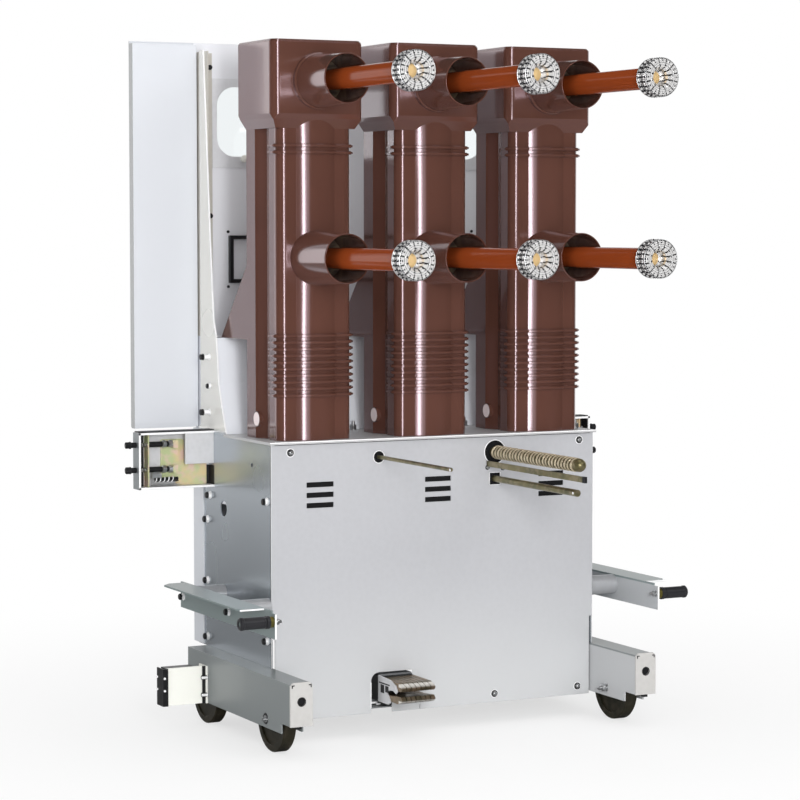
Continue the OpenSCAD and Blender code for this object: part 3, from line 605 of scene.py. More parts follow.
softbox("corner_strip", (-1.42, -4.35, 1.2), 0.56, 2.6, 15)
softbox("left_panel", (-1.02, -4.7, 1.2), 0.5, 2.5, 3.0)
softbox("middle_panel", (-0.45, -4.85, 1.2), 0.55, 2.5, 1.2)
softbox("front_box", (2.0, -3.9, 3.5), 2.6, 1.6, 1.6)
fill = softbox("camera_fill", (-2.3, -5.6, 1.9), 1.6, 1.2, 14)
fill.visible_glossy = False
softbox("rear_left_box", (-2.6, 4.2, 1.5), 2.4, 2.6, 0.85)
softbox("top_box", (0.3, -0.6, 4.2), 2.4, 2.4, 1.0)
print("stage and lamps ready")

# %% [markdown]
# ## Heads, nuts and washers
# A fastener is a stack of rings: each level has a height and an outline, round or hexagonal.
# Hexagons that are cut back by a circle give the real chamfered corners. One head is modelled
# once, and Geometry Nodes repeats it wherever a row of points says which way it faces.

# %% Turned and hexagonal heads
AROUND = 24


def as_mesh(mesh):
    """Mesh data, which an object can hold, from a mesh that is being built."""
    data = bpy.data.meshes.new("built")
    mesh.to_mesh(data)
    mesh.free()
    return data


def hexagon(flats, limit):
    """Outline of a hexagon with that distance across flats, its corners cut back to a circle."""
    def radius(angle):
        sector = (angle + math.pi / 6) % (math.pi / 3) - math.pi / 6
        return min(flats / 2 / math.cos(sector), limit)
    return radius


def turned(*levels, around=AROUND, ring=False):
    """Stack of (height, radius or outline) levels in millimetres, closed by ends or as a ring."""
    mesh = bmesh.new()
    rings = []
    for height, outline in levels:
        angles = [2 * math.pi * k / around for k in range(around)]
        radii = [outline(angle) if callable(outline) else outline for angle in angles]
        rings.append([mesh.verts.new((r * math.cos(a) * MM, r * math.sin(a) * MM, height * MM))
                      for r, a in zip(radii, angles)])
    for lower, upper in zip(rings, rings[1:] + (rings[:1] if ring else [])):
        for k in range(around):
            n = (k + 1) % around
            mesh.faces.new((lower[k], lower[n], upper[n], upper[k]))
    if not ring:
        mesh.faces.new(reversed(rings[0]))
        mesh.faces.new(rings[-1])
    return as_mesh(mesh)


def hoop(radius, wire, around=48, sides=8):
    """A ring of round wire: its section is a circle of levels, the last joined to the first."""
    leans = [2 * math.pi * k / sides for k in range(sides)]
    return turned(*[(wire * math.sin(lean), radius + wire * math.cos(lean)) for lean in leans],
                  around=around, ring=True)


def stud_nut(flats, height, washer_width, stud):
    """Washer, spring washer, chamfered nut and the threaded end of its stud."""
    plate = 0.12 * flats
    gap = 0.28 * flats
    top = gap + height
    body = hexagon(flats, 0.555 * flats)
    half = washer_width / 2
    levels = [(0, half), (0.8 * plate, half), (plate, half - 0.2 * plate), (plate, 0.46 * flats),
              (gap, 0.46 * flats), (gap, flats / 2), (gap + 0.05 * flats, body),
              (top - 0.08 * flats, body), (top, flats / 2)]
    crest = 0.29 * flats
    pitch = 0.1 * flats
    turns = int(stud / pitch)
    levels.append((top, 0.86 * crest))
    for k in range(turns):
        levels += [(top + (k + 0.5) * pitch, crest), (top + (k + 1) * pitch, 0.86 * crest)]
    return turned(*levels, (top + (turns + 0.5) * pitch, 0.6 * crest))


def pan_screw(width, height):
    """Pan head on a plain washer, with a turned recess in its crown."""
    plate = 0.14 * width
    top = plate + height
    r = width / 2
    return turned((0, r), (plate, r), (plate, 0.96 * r), (plate + 0.45 * height, r),
                  (plate + 0.8 * height, 0.82 * r), (top, 0.5 * r), (top, 0.34 * r),
                  (plate + 0.55 * height, 0.2 * r))


def washer(outer, thickness):
    half = outer / 2
    return turned((0, half), (0.7 * thickness, half), (thickness, half - 0.3 * thickness))


print("fastener heads ready")

# %% [markdown]
# ## Trees that repeat a piece
# The points carry a vector that says which way each copy faces. A tree turns an instance to
# it, realises the instances and sets the finish. The fastener tree also spins each head by a
# random amount so that no two hexagons line up. Copying objects in Python would do it too, but
# would leave dozens of objects.

# %% Fastener tree
SMOOTH_BELOW = math.radians(35)
KINDS = {type(None): "NodeSocketObject", float: "NodeSocketFloat", int: "NodeSocketInt"}


def tree_with(name, **sizes):
    """New tree with a named input for each size; gives the tree, its inputs and its output."""
    tree = bpy.data.node_groups.new(name, "GeometryNodeTree")

    def ask(label, kind):
        return tree.interface.new_socket(label, in_out="INPUT", socket_type=kind)

    ask("Places", "NodeSocketGeometry")
    for label, value in sizes.items():
        item = ask(label.replace("_", " "), KINDS[type(value)])
        if value is not None:
            item.default_value = value
    ask("Finish", "NodeSocketMaterial")
    tree.interface.new_socket("Set", in_out="OUTPUT", socket_type="NodeSocketGeometry")
    entry = tree.nodes.new("NodeGroupInput").outputs
    return tree, entry, tree.nodes.new("NodeGroupOutput").inputs["Set"]


def facing_turn(tree):
    """Rotation that turns Z to each point's own facing vector."""
    facing = add_node(tree, "GeometryNodeInputNamedAttribute", {"Name": "facing"},
                      data_type="FLOAT_VECTOR")
    return add_node(tree, "FunctionNodeAlignRotationToVector", {"Vector": facing}, axis="Z")


def lent_piece(tree, entry):
    return add_node(tree, "GeometryNodeObjectInfo", {"Object": entry["Piece"]}, "Geometry")


def set_on_places(tree, entry, leave, geometry, **others):
    """Copies the geometry to every place, makes it real and gives it its finish."""
    if "Rotation" not in others:
        others["Rotation"] = facing_turn(tree)
    copies = add_node(tree, "GeometryNodeInstanceOnPoints",
                      {"Points": entry["Places"], "Instance": geometry, **others})
    real = add_node(tree, "GeometryNodeRealizeInstances", {0: copies})
    painted = add_node(tree, "GeometryNodeSetMaterial",
                       {"Geometry": real, "Material": entry["Finish"]})
    tree.links.new(painted, leave)
    return tree


def fastener_tree():
    tree, entry, leave = tree_with("set_fasteners", Piece=None, Size=1.0, Seed=1)
    chance = add_node(tree, "FunctionNodeRandomValue", {3: math.pi, "Seed": entry["Seed"]}, 1,
                      data_type="FLOAT")
    spin = add_node(tree, "FunctionNodeAxisAngleToRotation", {"Axis": (0, 0, 1), "Angle": chance})
    turn = add_node(tree, "FunctionNodeRotateRotation",
                    {"Rotation": facing_turn(tree), "Rotate By": spin}, rotation_space="LOCAL")
    return set_on_places(tree, entry, leave, lent_piece(tree, entry), Rotation=turn,
                         Scale=entry["Size"])


def keep(name, mesh, slot):
    """Makes a finished piece of a mesh: finish, smooth curves, sharp corners, and its body."""
    mesh.name = name
    piece = in_scene(name, mesh)
    dress(piece, FINISHES[slot])
    mesh.shade_smooth()
    mesh.set_sharp_from_angle(angle=SMOOTH_BELOW)
    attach(piece, TRUCK)
    print(f"{name}: {len(mesh.polygons)} faces in {slot}")


def places_mesh(places):
    """Points in millimetres that each carry the direction their copy faces."""
    mesh = bpy.data.meshes.new("places")
    mesh.from_pydata([[c * MM for c in point] for point, direction in places], [], [])
    facing = mesh.attributes.new("facing", "FLOAT_VECTOR", "POINT")
    facing.data.foreach_set("vector", [c for point, direction in places for c in direction])
    return mesh


def grow(name, tree, places, slot, lent=None, **settings):
    """Runs a tree on (point, direction) places and keeps the result as a plain mesh."""
    source = in_scene(name + "_source", places_mesh(places))
    helpers = [source]
    if lent:
        helpers.append(in_scene(name + "_lent", lent))
        settings["piece"] = helpers[-1]
        bpy.context.view_layer.update()
    settings["finish"] = FINISHES[slot]
    modifier = source.modifiers.new("grow", "NODES")
    modifier.node_group = tree
    for item in tree.interface.items_tree:
        label = item.name.lower().replace(" ", "_")
        if item.item_type == "SOCKET" and item.in_out == "INPUT" and label in settings:
            modifier[item.identifier] = settings[label]
    view = bpy.context.evaluated_depsgraph_get()
    mesh = bpy.data.meshes.new_from_object(source.evaluated_get(view))
    for helper in helpers:
        bpy.data.objects.remove(helper)
    keep(name, mesh, slot)


SET_FASTENERS = fastener_tree()


def fasten(name, head, places, slot="bright_zinc", size=1.0, seed=1):
    grow(name, SET_FASTENERS, places, slot, head, size=size, seed=seed)


print("fastener tree ready")

# %% [markdown]
# ## Pieces repeated round an axis
# The bars of a contact cage and the dots on its rim are spokes: one piece, copied round a circle,
# and the circle copied to every contact. Nesting two instance nodes does both at once, and the
# piece's own X axis is turned outwards with the pivot kept on Z.

# %% Spoke tree
def spoke_tree():
    tree, entry, leave = tree_with("spokes", Piece=None, Count=12, Radius=0.02, Start=0.0)
    circle = add_node(tree, "GeometryNodeMeshCircle",
                      {"Vertices": entry["Count"], "Radius": entry["Radius"]})
    place = add_node(tree, "GeometryNodeInputPosition")
    outward = add_node(tree, "FunctionNodeAlignRotationToVector", {"Vector": place}, axis="X",
                       pivot_axis="Z")
    spokes = add_node(tree, "GeometryNodeInstanceOnPoints",
                      {"Points": circle, "Instance": lent_piece(tree, entry), "Rotation": outward})
    first = add_node(tree, "ShaderNodeCombineXYZ", {"Z": entry["Start"]})
    set_round = add_node(tree, "GeometryNodeTransform", {"Geometry": spokes, "Rotation": first})
    return set_on_places(tree, entry, leave, set_round)


SPOKES = spoke_tree()
print("spoke tree ready")

# %% [markdown]
# ## Coils
# A garter spring is a coil bent into a ring, a drive shaft's ridge is a helix. The first is a
# short ring copied along a circle with a slight slant, the second a swept spiral.

# %% Garter and helix trees
def garter_tree():
    tree, entry, leave = tree_with("garter", Radius=0.04, Coil_Radius=0.002, Wire=0.0005, Coils=40,
                                   Slant=0.3)
    around = add_node(tree, "GeometryNodeMeshCircle",
                      {"Vertices": entry["Coils"], "Radius": entry["Radius"]})
    turn = add_node(tree, "GeometryNodeCurvePrimitiveCircle",
                    {"Resolution": 8, "Radius": entry["Coil Radius"]})
    wire = add_node(tree, "GeometryNodeCurvePrimitiveCircle",
                    {"Resolution": 4, "Radius": entry["Wire"]})
    swept = add_node(tree, "GeometryNodeCurveToMesh", {"Curve": turn, "Profile Curve": wire})
    place = add_node(tree, "GeometryNodeInputPosition")
    along = add_node(tree, "ShaderNodeVectorMath", {0: (0, 0, 1), 1: place},
                     operation="CROSS_PRODUCT")
    unit = add_node(tree, "ShaderNodeVectorMath", {0: along}, operation="NORMALIZE")
    lean = add_node(tree, "ShaderNodeCombineXYZ", {"Z": entry["Slant"]})
    tilted = add_node(tree, "ShaderNodeVectorMath", {0: unit, 1: lean})
    aim = add_node(tree, "FunctionNodeAlignRotationToVector", {"Vector": tilted}, axis="Z")
    coils = add_node(tree, "GeometryNodeInstanceOnPoints",
                     {"Points": around, "Instance": swept, "Rotation": aim})
    return set_on_places(tree, entry, leave, coils)


def helix_tree():
    tree, entry, leave = tree_with("helix", Turns=10.0, Radius=0.01, Length=0.1, Wire=0.001,
                                   Steps=16)
    spiral = add_node(tree, "GeometryNodeCurveSpiral",
                      {"Resolution": entry["Steps"], "Rotations": entry["Turns"],
                       "Start Radius": entry["Radius"], "End Radius": entry["Radius"],
                       "Height": entry["Length"]})
    wire = add_node(tree, "GeometryNodeCurvePrimitiveCircle",
                    {"Resolution": 8, "Radius": entry["Wire"]})
    swept = add_node(tree, "GeometryNodeCurveToMesh",
                     {"Curve": spiral, "Profile Curve": wire, "Fill Caps": True})
    return set_on_places(tree, entry, leave, swept)


GARTER = garter_tree()
HELIX = helix_tree()


def helix(name, places, slot, radius, length, wire, turns):
    grow(name, HELIX, places, slot, radius=radius * MM, length=length * MM, wire=wire * MM,
         turns=turns)


print("coil trees ready")

# %% [markdown]
# ## Tulip contacts
# Each contact is a basket of silvered fingers that garter springs press onto a fixed pin. The
# fingers are fixed already, so this adds what stands between and around them: the dark bars of
# the cage, which also paint the shade in the slits, dark bands that paint the shade in its grooves,
# the springs' coils, the dots of the retaining pins and the brass head inside.

# %% Contact axes
ARM_SIDE = (0, -1, 0)
UP = (0, 0, 1)
LEFT = (-1, 0, 0)
RIGHT = (1, 0, 0)
FOOT_DEPTH = 48


def box_mm(name):
    """Low and high corner of a fixed piece, in millimetres."""
    return [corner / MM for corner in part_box(name)]


def facing(direction, *points):
    """Places at the points, all facing one way."""
    return [(point, direction) for point in points]


def mirrored(direction, *points):
    """Places at the points, and at their mirror images across the middle plane."""
    dx, dy, dz = direction
    images = [(-x, y, z) for x, y, z in points]
    return facing(direction, *points) + facing((-dx, dy, dz), *images)


tulip_axes = []
for phase in "abc":
    low, high = box_mm("tulips_" + phase)
    middle = (low + high) / 2
    reach = (high.z - low.z - (high.x - low.x)) / 2
    tulip_axes += [(middle.x, low.y + FOOT_DEPTH, middle.z + side * reach) for side in (-1, 1)]


def tulip_places(*heights):
    """A place on every contact's axis at each of these heights above its foot."""
    return facing(ARM_SIDE, *[(x, y - height, z) for height in heights for x, y, z in tulip_axes])


print(f"{len(tulip_axes)} contacts, feet at y {tulip_axes[0][1]:.1f} mm")

# %% Cage bars, garter springs, rims and cores
HALF_PITCH = math.pi / FINGERS
BAR_THICKNESS = 2.9
BAR = [(23.3, 9), (42.2, 9), (42.2, 11.1), (39.8, 12.1), (39.8, 36.9), (42.2, 37.9), (42.2, 43),
       (30, 44), (21.4, 43), (18.2, 39), (18.2, 30), (23.3, 25)]
CAGE_ENDS = (44.4, 9)
SPRING_HEIGHTS = (15, 34)
GROOVE_SHADE_HEIGHTS = (18.6, 24.5, 30.4)
BRIDGE_HEIGHT = 45.9
PIN_HEIGHT = 46.4
CORE_HEIGHT = 8


def prisms(*pairs):
    """Fills the space between each pair of matching outlines, given as points in millimetres."""
    mesh = bmesh.new()
    for pair in pairs:
        near, far = [[mesh.verts.new(Vector(point) * MM) for point in outline] for outline in pair]
        mesh.faces.new(near)
        mesh.faces.new(far)
        for k in range(len(near)):
            n = (k + 1) % len(near)
            mesh.faces.new((near[k], near[n], far[n], far[k]))
    bmesh.ops.recalc_face_normals(mesh, faces=mesh.faces)
    return as_mesh(mesh)


def spoke_sets(name, piece, height, count, radius, start):
    grow(name, SPOKES, tulip_places(height), "blackened", piece, count=count, radius=radius * MM,
         start=start)


# Black cage bars fill the slits between the fingers: a cage that also paints the shade of the gaps.
bar = prisms([[(x, side * BAR_THICKNESS / 2, z) for x, z in BAR] for side in (-1, 1)])
spoke_sets("tulip_cage_bars", bar, 0, FINGERS, 0.01, HALF_PITCH)
pin = turned((-0.6, 1.35), (0.35, 1.35), (0.6, 0.8), around=8)
pin.transform(Matrix.Rotation(math.radians(45), 4, "Y"))
spoke_sets("tulip_rim_pins", pin, PIN_HEIGHT, 2 * FINGERS, 40.4, HALF_PITCH / 2)
for level, height in enumerate(SPRING_HEIGHTS):
    grow(f"tulip_springs_{level}", GARTER, tulip_places(height), "bright_zinc", radius=41 * MM,
         coil_radius=2.5 * MM, wire=0.62 * MM, coils=44)
fasten("tulip_rims", hoop(42, 1.1), tulip_places(*CAGE_ENDS))
# Dark bands in the grooves beside the springs: painted shade.
fasten("tulip_bands", hoop(39.5, 0.9), tulip_places(*GROOVE_SHADE_HEIGHTS), "blackened")
fasten("tulip_bridges", hoop(29.4, 2), tulip_places(BRIDGE_HEIGHT))
core = turned((0, 15.8), (2.2, 15.8), (3, 14.6), (3.4, 6), around=32)
fasten("tulip_cores", core, tulip_places(CORE_HEIGHT), "core_brass")

# %% [markdown]
# ## Cabinet fasteners
# The covers hang on pan-head screws near their corners, the side plates are bolted to the
# chassis and the panel. Each place is counted from the edges of the sheet that it holds.

# %% Screws and bolts of the cabinet
NUT = stud_nut(13, 6.5, 17, 7)
PAN = pan_screw(11, 4.2)
SMALL_PAN = pan_screw(7, 3)
WASHER = washer(17, 1.2)
CAP = turned((0, 4), (7, 4), (7, 8), (11, 7.4), (12.5, 5.6))
COLLAR = turned((0, 9), (1.6, 9), (1.6, 6), (7, 6))

INSET = 40
cover_low, cover_high = box_mm("arm_side_cover")
face = cover_low.y
top = cover_high.z
foot = cover_low.z + INSET / 2
rods_low, __ = box_mm("push_rods")
shaft_x, __, shaft_z = sum(box_mm("drive_shaft"), Vector()) / 2
cover_places = facing(ARM_SIDE, (cover_low.x + 47, face, top - 19),
                      (cover_high.x - 38, face, top - 17),
                      *[(x, face, foot) for x in (cover_high.x - INSET, shaft_x,
                                                  cover_low.x + INSET)])
fasten("cover_screws", PAN, cover_places, seed=3)
fasten("cover_washers", WASHER, cover_places, "blackened")
fasten("cover_halos", washer(20, 0.5), cover_places, "white_edge")
rod_places = facing(ARM_SIDE, (shaft_x - 20, face, shaft_z - 36),
                    (shaft_x + 21, face, shaft_z - 39))
fasten("rod_guide_screws", SMALL_PAN, rod_places, seed=4)
fasten("rod_guide_washers", washer(11, 0.9), rod_places, "blackened")

side_low, __ = box_mm("side_plate_left")
__, side_high = box_mm("side_plate_right")
lap_low, lap_high = box_mm("operator_cover")
near_places = facing(LEFT, (side_low.x, side_low.y + 22, side_low.z + 378),
                     (side_low.x, side_low.y + 22, side_low.z + 60),
                     (side_low.x, lap_low.y - 37, 535))
side_places = near_places + mirrored(RIGHT, *[(side_high.x, lap_low.y - 21, lap_high.z - drop)
                                              for drop in (213, 359, 494)])
fasten("side_screws", CAP, side_places, "black_steel", seed=5)
fasten("side_collars", COLLAR, side_places, "white_edge")

# %% [markdown]
# ## Bolts of the panel braces
# Each side plate rises as a tapered brace to the operator's panel. Two long bolts with dark heads
# pass through it near its foot, their shanks left proud and painted white as a highlight, with one
# smaller screw between them. Higher up, screws hold the flange of the angle that stiffens the
# panel.

# %% Brace and panel bolts
SMALLER = 0.8
LONG_BOLT = turned((0, 8), (1.2, 8), (1.2, 4.6), (17, 4.6))
LONG_HEX = hexagon(13, 7.2)
LONG_HEAD = turned((16, 7.4), (17, 8), (17, LONG_HEX), (24, LONG_HEX))
BOSS = turned((0, 9), (6, 9), (8, 6))
brace = -side_high.x
long_places = mirrored(LEFT, (brace, 350, 863), (brace, 352, 732))
# White shanks: painted highlight.
fasten("brace_shanks", LONG_BOLT, long_places, "white_edge", seed=6)
fasten("brace_heads", LONG_HEAD, long_places, "blackened", seed=6)
angle_low, angle_high = box_mm("panel_angles")
for name, seed, places in (
        ("brace", 7, mirrored(LEFT, (brace, 347.5, 794))),
        ("flange", 8, mirrored(ARM_SIDE, *[(angle_low.x + 36, angle_high.y - 3, z)
                                           for z in (1549, 1196)]))):
    fasten(name + "_screws", CAP, places, "black_steel", size=SMALLER, seed=seed)
    fasten(name + "_collars", COLLAR, places, "white_edge", size=SMALLER)
panel_low, __ = box_mm("front_panel")
window_low, __ = box_mm("window_plates")
window_places = mirrored(ARM_SIDE, (-290, window_low.y, window_low.z + 22))
fasten("window_bosses", BOSS, window_places, "stop_paint")
bezel_low, bezel_high = box_mm("panel_bezels")
bezel_places = mirrored(ARM_SIDE, *[(bezel_low.x - 1, panel_low.y, z)
                                    for z in (bezel_high.z + 9, bezel_low.z - 9)])
fasten("bezel_screws", SMALL_PAN, bezel_places, "blackened", seed=10)

# %% [markdown]
# ## Folded strips and rims
# White strips and rings outline every opening of the sheet metal as painted highlights, where the
# real cut edges catch the light. Each is a fraction of a millimetre proud of its sheet.

# %% Strips, and the side channel
RIM = 5.0
RIM_BEVEL = 0.15
PROUD = 0.4


def strips(name, boxes, slot, bevel=0.4):
    """Bevelled bars from their low and high corners in millimetres."""
    mesh = bmesh.new()
    for low, high in boxes:
        middle = (Vector(low) + Vector(high)) / 2
        span = Vector(high) - Vector(low)
        for vert in bmesh.ops.create_cube(mesh, size=1)["verts"]:
            vert.co = (middle + Vector([c * s for c, s in zip(vert.co, span)])) * MM
    if bevel:
        bmesh.ops.bevel(mesh, geom=mesh.edges[:], offset=bevel * MM, segments=1, affect="EDGES",
                        clamp_overlap=True)
    keep(name, as_mesh(mesh), slot)


def both(*boxes):
    """The boxes, and each one's mirror image across the middle plane."""
    return [*boxes, *[((-x1, y0, z0), (-x0, y1, z1)) for (x0, y0, z0), (x1, y1, z1) in boxes]]


(cx0, cy0, cz0), (cx1, cy1, cz1) = box_mm("side_channel_left")
# White rims round the channel's opening: painted highlights.
strips("channel_rims", both(
    ((cx0, cy0 - PROUD, cz1 - RIM), (cx1, cy0, cz1)),
    ((cx0, cy0 - PROUD, cz0), (cx1, cy0, cz0 + RIM)),
    ((cx0, cy0 - PROUD, cz0), (cx0 + RIM, cy0, cz1))), "white_edge", RIM_BEVEL)
# Black strips inside the channel, along its top, inner end wall and back: painted shade.
strips("channel_seals", both(
    ((cx0 + 4, cy0 + 3, cz1), (cx1, cy1, cz1 + 2.6)),
    ((cx0 + RIM, cy1 - 5.6, cz0 + RIM), (cx0 + 24, cy1 - RIM, cz1 - RIM)),
    ((cx0 + RIM, cy0 + 4, cz0 + RIM), (cx0 + RIM + 0.6, cy1 - RIM, cz1 - RIM)),
    ((cx1 - 19, cy1 - 5.6, cz0 + RIM), (cx1 - 0.5, cy1 - RIM, cz0 + 50)),
    ((cx1 - 0.7, cy0 + 2, cz0 + RIM), (cx1 - 0.2, cy1 - RIM, cz0 + 50))), "blackened", 0)

# %% Locking bolts and latch springs
lock_low, lock_high = box_mm("locking_bolts")
lock_r = (lock_high.y - lock_low.y) / 2
lock_y = (lock_low.y + lock_high.y) / 2
lock_zs = (lock_low.z + lock_r, lock_high.z - lock_r)


def lock_places(*reaches):
    """Places on every locking bolt, at these x values."""
    return mirrored(LEFT, *[(x, lock_y, z) for x in reaches for z in lock_zs])


SMALL_HEX = hexagon(15, 8.4)
NUT_HEX = hexagon(17, 9.4)
LOCK_HEAD = turned((0, 8.6), (2, 8.6), (2, SMALL_HEX), (11, SMALL_HEX), (12, 6.4), (12, 3.4),
                   (9, 3))
BRIGHT_NUT = turned((0, 7), (1, NUT_HEX), (9, NUT_HEX), (10, 7), (12, 5))
LOCK_COLLAR = turned((0, 4.4), (5, 4.4))
fasten("lock_heads", LOCK_HEAD, lock_places(lock_low.x + 12), "blackened", seed=11)
fasten("lock_nuts", BRIGHT_NUT, lock_places(-535, -519), seed=12)
fasten("lock_collars", LOCK_COLLAR, lock_places(cx0 + 17, cx0 + 24.5), seed=13)
spring_places = mirrored(RIGHT, (cx0 + 44, cy0 + 14, cz0 + 21))
helix("latch_springs", spring_places, "blackened", 4.6, 60, 1.1, 17)
helix("latch_spring_shine", spring_places, "white_edge", 5.2, 52, 1.3, 5)
strips("latch_brackets", both(
    ((cx0 + 36, cy0 + 8, cz0 + 26), (cx0 + 60, cy0 + 14, cz0 + 37)),
    ((cx0 + 36, cy0 + 12, cz0 + 12), (cx0 + 38, cy0 + 14, cz0 + 36)),
    ((cx0 + 36, cy0 + 8, cz0 + 8), (cx0 + 106, cy0 + 20, cz0 + 10))), "bright_zinc")

# %% [markdown]
# ## Brace edge, cover seams and hole rims
# The tapered brace's cut edge gets a painted highlight. White lines paint highlights on the cover
# where the sheets lap, with a painted shadow beside them, and every hole in the cover has a thin
# white rim, also a painted highlight.

# %% Edges of the brace
deck_low, deck_high = box_mm("deck_plate")
deck_top = deck_high.z
EDGE_X = (side_high.x - 3, side_high.x + 0.6)
BRACE_FOOT = (298.5, deck_top + 118)
BRACE = [(384.5, 1586), (346.5, deck_top + 455), (327.5, deck_top + 265),
         (311.5, deck_top + 224), (306.5, deck_top + 184), BRACE_FOOT]
FOOT_CURVE = [BRACE_FOOT, (281.5, deck_top + 67), (253.5, deck_top)]


def ribbon(name, points, width):
    """White strip along a (y, z) polyline on the edge of each side plate: a painted highlight."""
    pairs = []
    for (y0, z0), (y1, z1) in zip(points, points[1:]):
        share = width / math.hypot(y1 - y0, z1 - z0)
        dy = (z1 - z0) * share
        dz = (y0 - y1) * share
        outline = [(y0, z0), (y1, z1), (y1 + dy, z1 + dz), (y0 + dy, z0 + dz)]
        pairs += [[[(side * x, y, z) for y, z in outline] for x in EDGE_X] for side in (1, -1)]
    keep(name, prisms(*pairs), "white_edge")


ribbon("brace_edges", BRACE, 2.4)
ribbon("foot_edges", FOOT_CURVE, 1.6)

# %% Seams of the cover and rims of its holes
SQUARE_Z = 580
SQUARE = 15
SQUARE_RIM = 1.2
SEAM_BEVEL = 0.1
left = -cover_high.x
strips("cover_seams", both(((left - PROUD, face + 0.2, 60), (left, face + 2.8, top))),
       "white_edge", SEAM_BEVEL)
strips("corner_shadows", both(((left - 0.3, face + 3.4, 172), (left + 0.1, face + 5.4, top))),
       "blackened", 0)
strips("deck_lip", [((left - 6, deck_low.y - PROUD, top + 3.8), (6 - left, deck_low.y, top + 6))],
       "white_edge", SEAM_BEVEL)
strips("deck_shadow", [((left + 8, face - 0.3, top - 1.8), (-left - 8, face, top)),
                       ((left + 8, deck_low.y, top - 0.3), (-left - 8, face, top))],
       "blackened", 0)
__, housing_high = box_mm("mechanism_box")
# A dark strip along the housing's top front edge.
strips("housing_seal", [((left + 4, 310.9, housing_high.z - 0.6),
                         (-left - 4, 312.6, housing_high.z + 0.6))], "blackened", 0)
fasten("rod_hole_rim", hoop(14.2, 0.9), facing(ARM_SIDE, (-150, face, shaft_z)), "white_edge")
fasten("shaft_hole_rim", hoop(27.8, 1.0), facing(ARM_SIDE, (shaft_x, face, shaft_z)), "white_edge")
inner = SQUARE - SQUARE_RIM
strips("square_hole_rim", [
    ((shaft_x + x0, face - 0.5, SQUARE_Z + z0), (shaft_x + x1, face, SQUARE_Z + z1))
    for x0, z0, x1, z1 in ((-SQUARE, -SQUARE, -inner, SQUARE), (inner, -SQUARE, SQUARE, SQUARE),
                           (-SQUARE, -SQUARE, SQUARE, -inner), (-SQUARE, inner, SQUARE, SQUARE))],
    "white_edge", 0)

# %% [markdown]
# ## Turns on the drive shaft
# The racking shaft is wound with a coil of bright wire from the cover to just behind its domed
# end. The helix tree sweeps it at its real pitch, so it catches light turn by turn, and a second,
# darker coil in the groove between the turns paints the shade there.

# %% Drive-shaft coil and rod ends
SHAFT_TURNS = 27
SHAFT_COIL = 376
# The darker coil in the groove paints the shade between the bright turns.
for name, slot, start, wire in (("drive_shaft_coil", "coil_brass", -14, 4.2),
                                ("drive_shaft_groove", "coil_shadow", -7, 3.4)):
    helix(name, facing(ARM_SIDE, (shaft_x, start, shaft_z)), slot, 12.2, SHAFT_COIL, wire,
          SHAFT_TURNS)
rod_ends = facing(LEFT, (shaft_x - 7.6, rods_low.y + 8, SQUARE_Z),
                  (rods_low.x + 0.1, rods_low.y + 24, shaft_z))
fasten("cross_holes", turned((0, 3.2), (0.5, 3.2)), rod_ends, "white_edge")
bar_low, bar_high = box_mm("guide_bar")
strips("guide_bar_tip", [((bar_low.x - 0.5, bar_low.y, bar_low.z - 0.5),
                          (bar_high.x + 0.5, bar_low.y + 12, bar_high.z + 0.5))], "blackened")

# %% [markdown]
# ## Dark behind the holes
# The cabinet is unlit inside. Near-black boards just behind the louvres and the round holes paint
# that shade, and keep the studio lamps from reaching in.

# %% Boards behind the louvres and holes
LOUVRE_X = (-299, 3, 305)
LOUVRE_PITCH = 23.6
LOUVRE_DROP = 100
BOARD_GAP = 3.4
BOARD = 0.5


def behind_cover(name, *holes):
    """Near-black boards behind (x0, x1, z0, z1) openings of the cover: painted shade."""
    near = face + BOARD_GAP
    strips(name, [((x0, near, z0), (x1, near + BOARD, z1)) for x0, x1, z0, z1 in holes],
           "slot_shade", 0)


louvre_zs = [deck_top - LOUVRE_DROP - k * LOUVRE_PITCH for k in range(3)]
behind_cover("louvre_backs", *[(x - 36, x + 36, z - 8, z + 8) for x in LOUVRE_X
                               for z in louvre_zs])
behind_cover("hole_backs", (-165, -135, shaft_z - 15, shaft_z + 15),
             (shaft_x - 28, shaft_x + 28, shaft_z - 36, shaft_z + 28),
             (shaft_x - SQUARE, shaft_x + SQUARE, SQUARE_Z - SQUARE, SQUARE_Z + SQUARE))

# %% [markdown]
# ## Deck nuts
# Each pole stands on bolts through the deck. The nuts that show between the feet are grey, with
# a length of bright stud above them.

# %% Deck nuts
POST = turned((0, 10), (1.5, 10), (1.5, SMALL_HEX), (12, SMALL_HEX), (12, 4), (20, 4), (21, 3))
post_places = facing(UP, *[(x, y, deck_top)
                           for x, y in ((-93, 246.5), (207, 246.5), (393, 246.5), (407, 53.5))])
fasten("deck_nuts", POST, post_places, seed=14)

# %% [markdown]
# ## Rails and rollers
# A bolt at each spacer holds the rail, another holds the roller's pin from the inside. White
# strips on the edges of the folded rail are painted highlights.

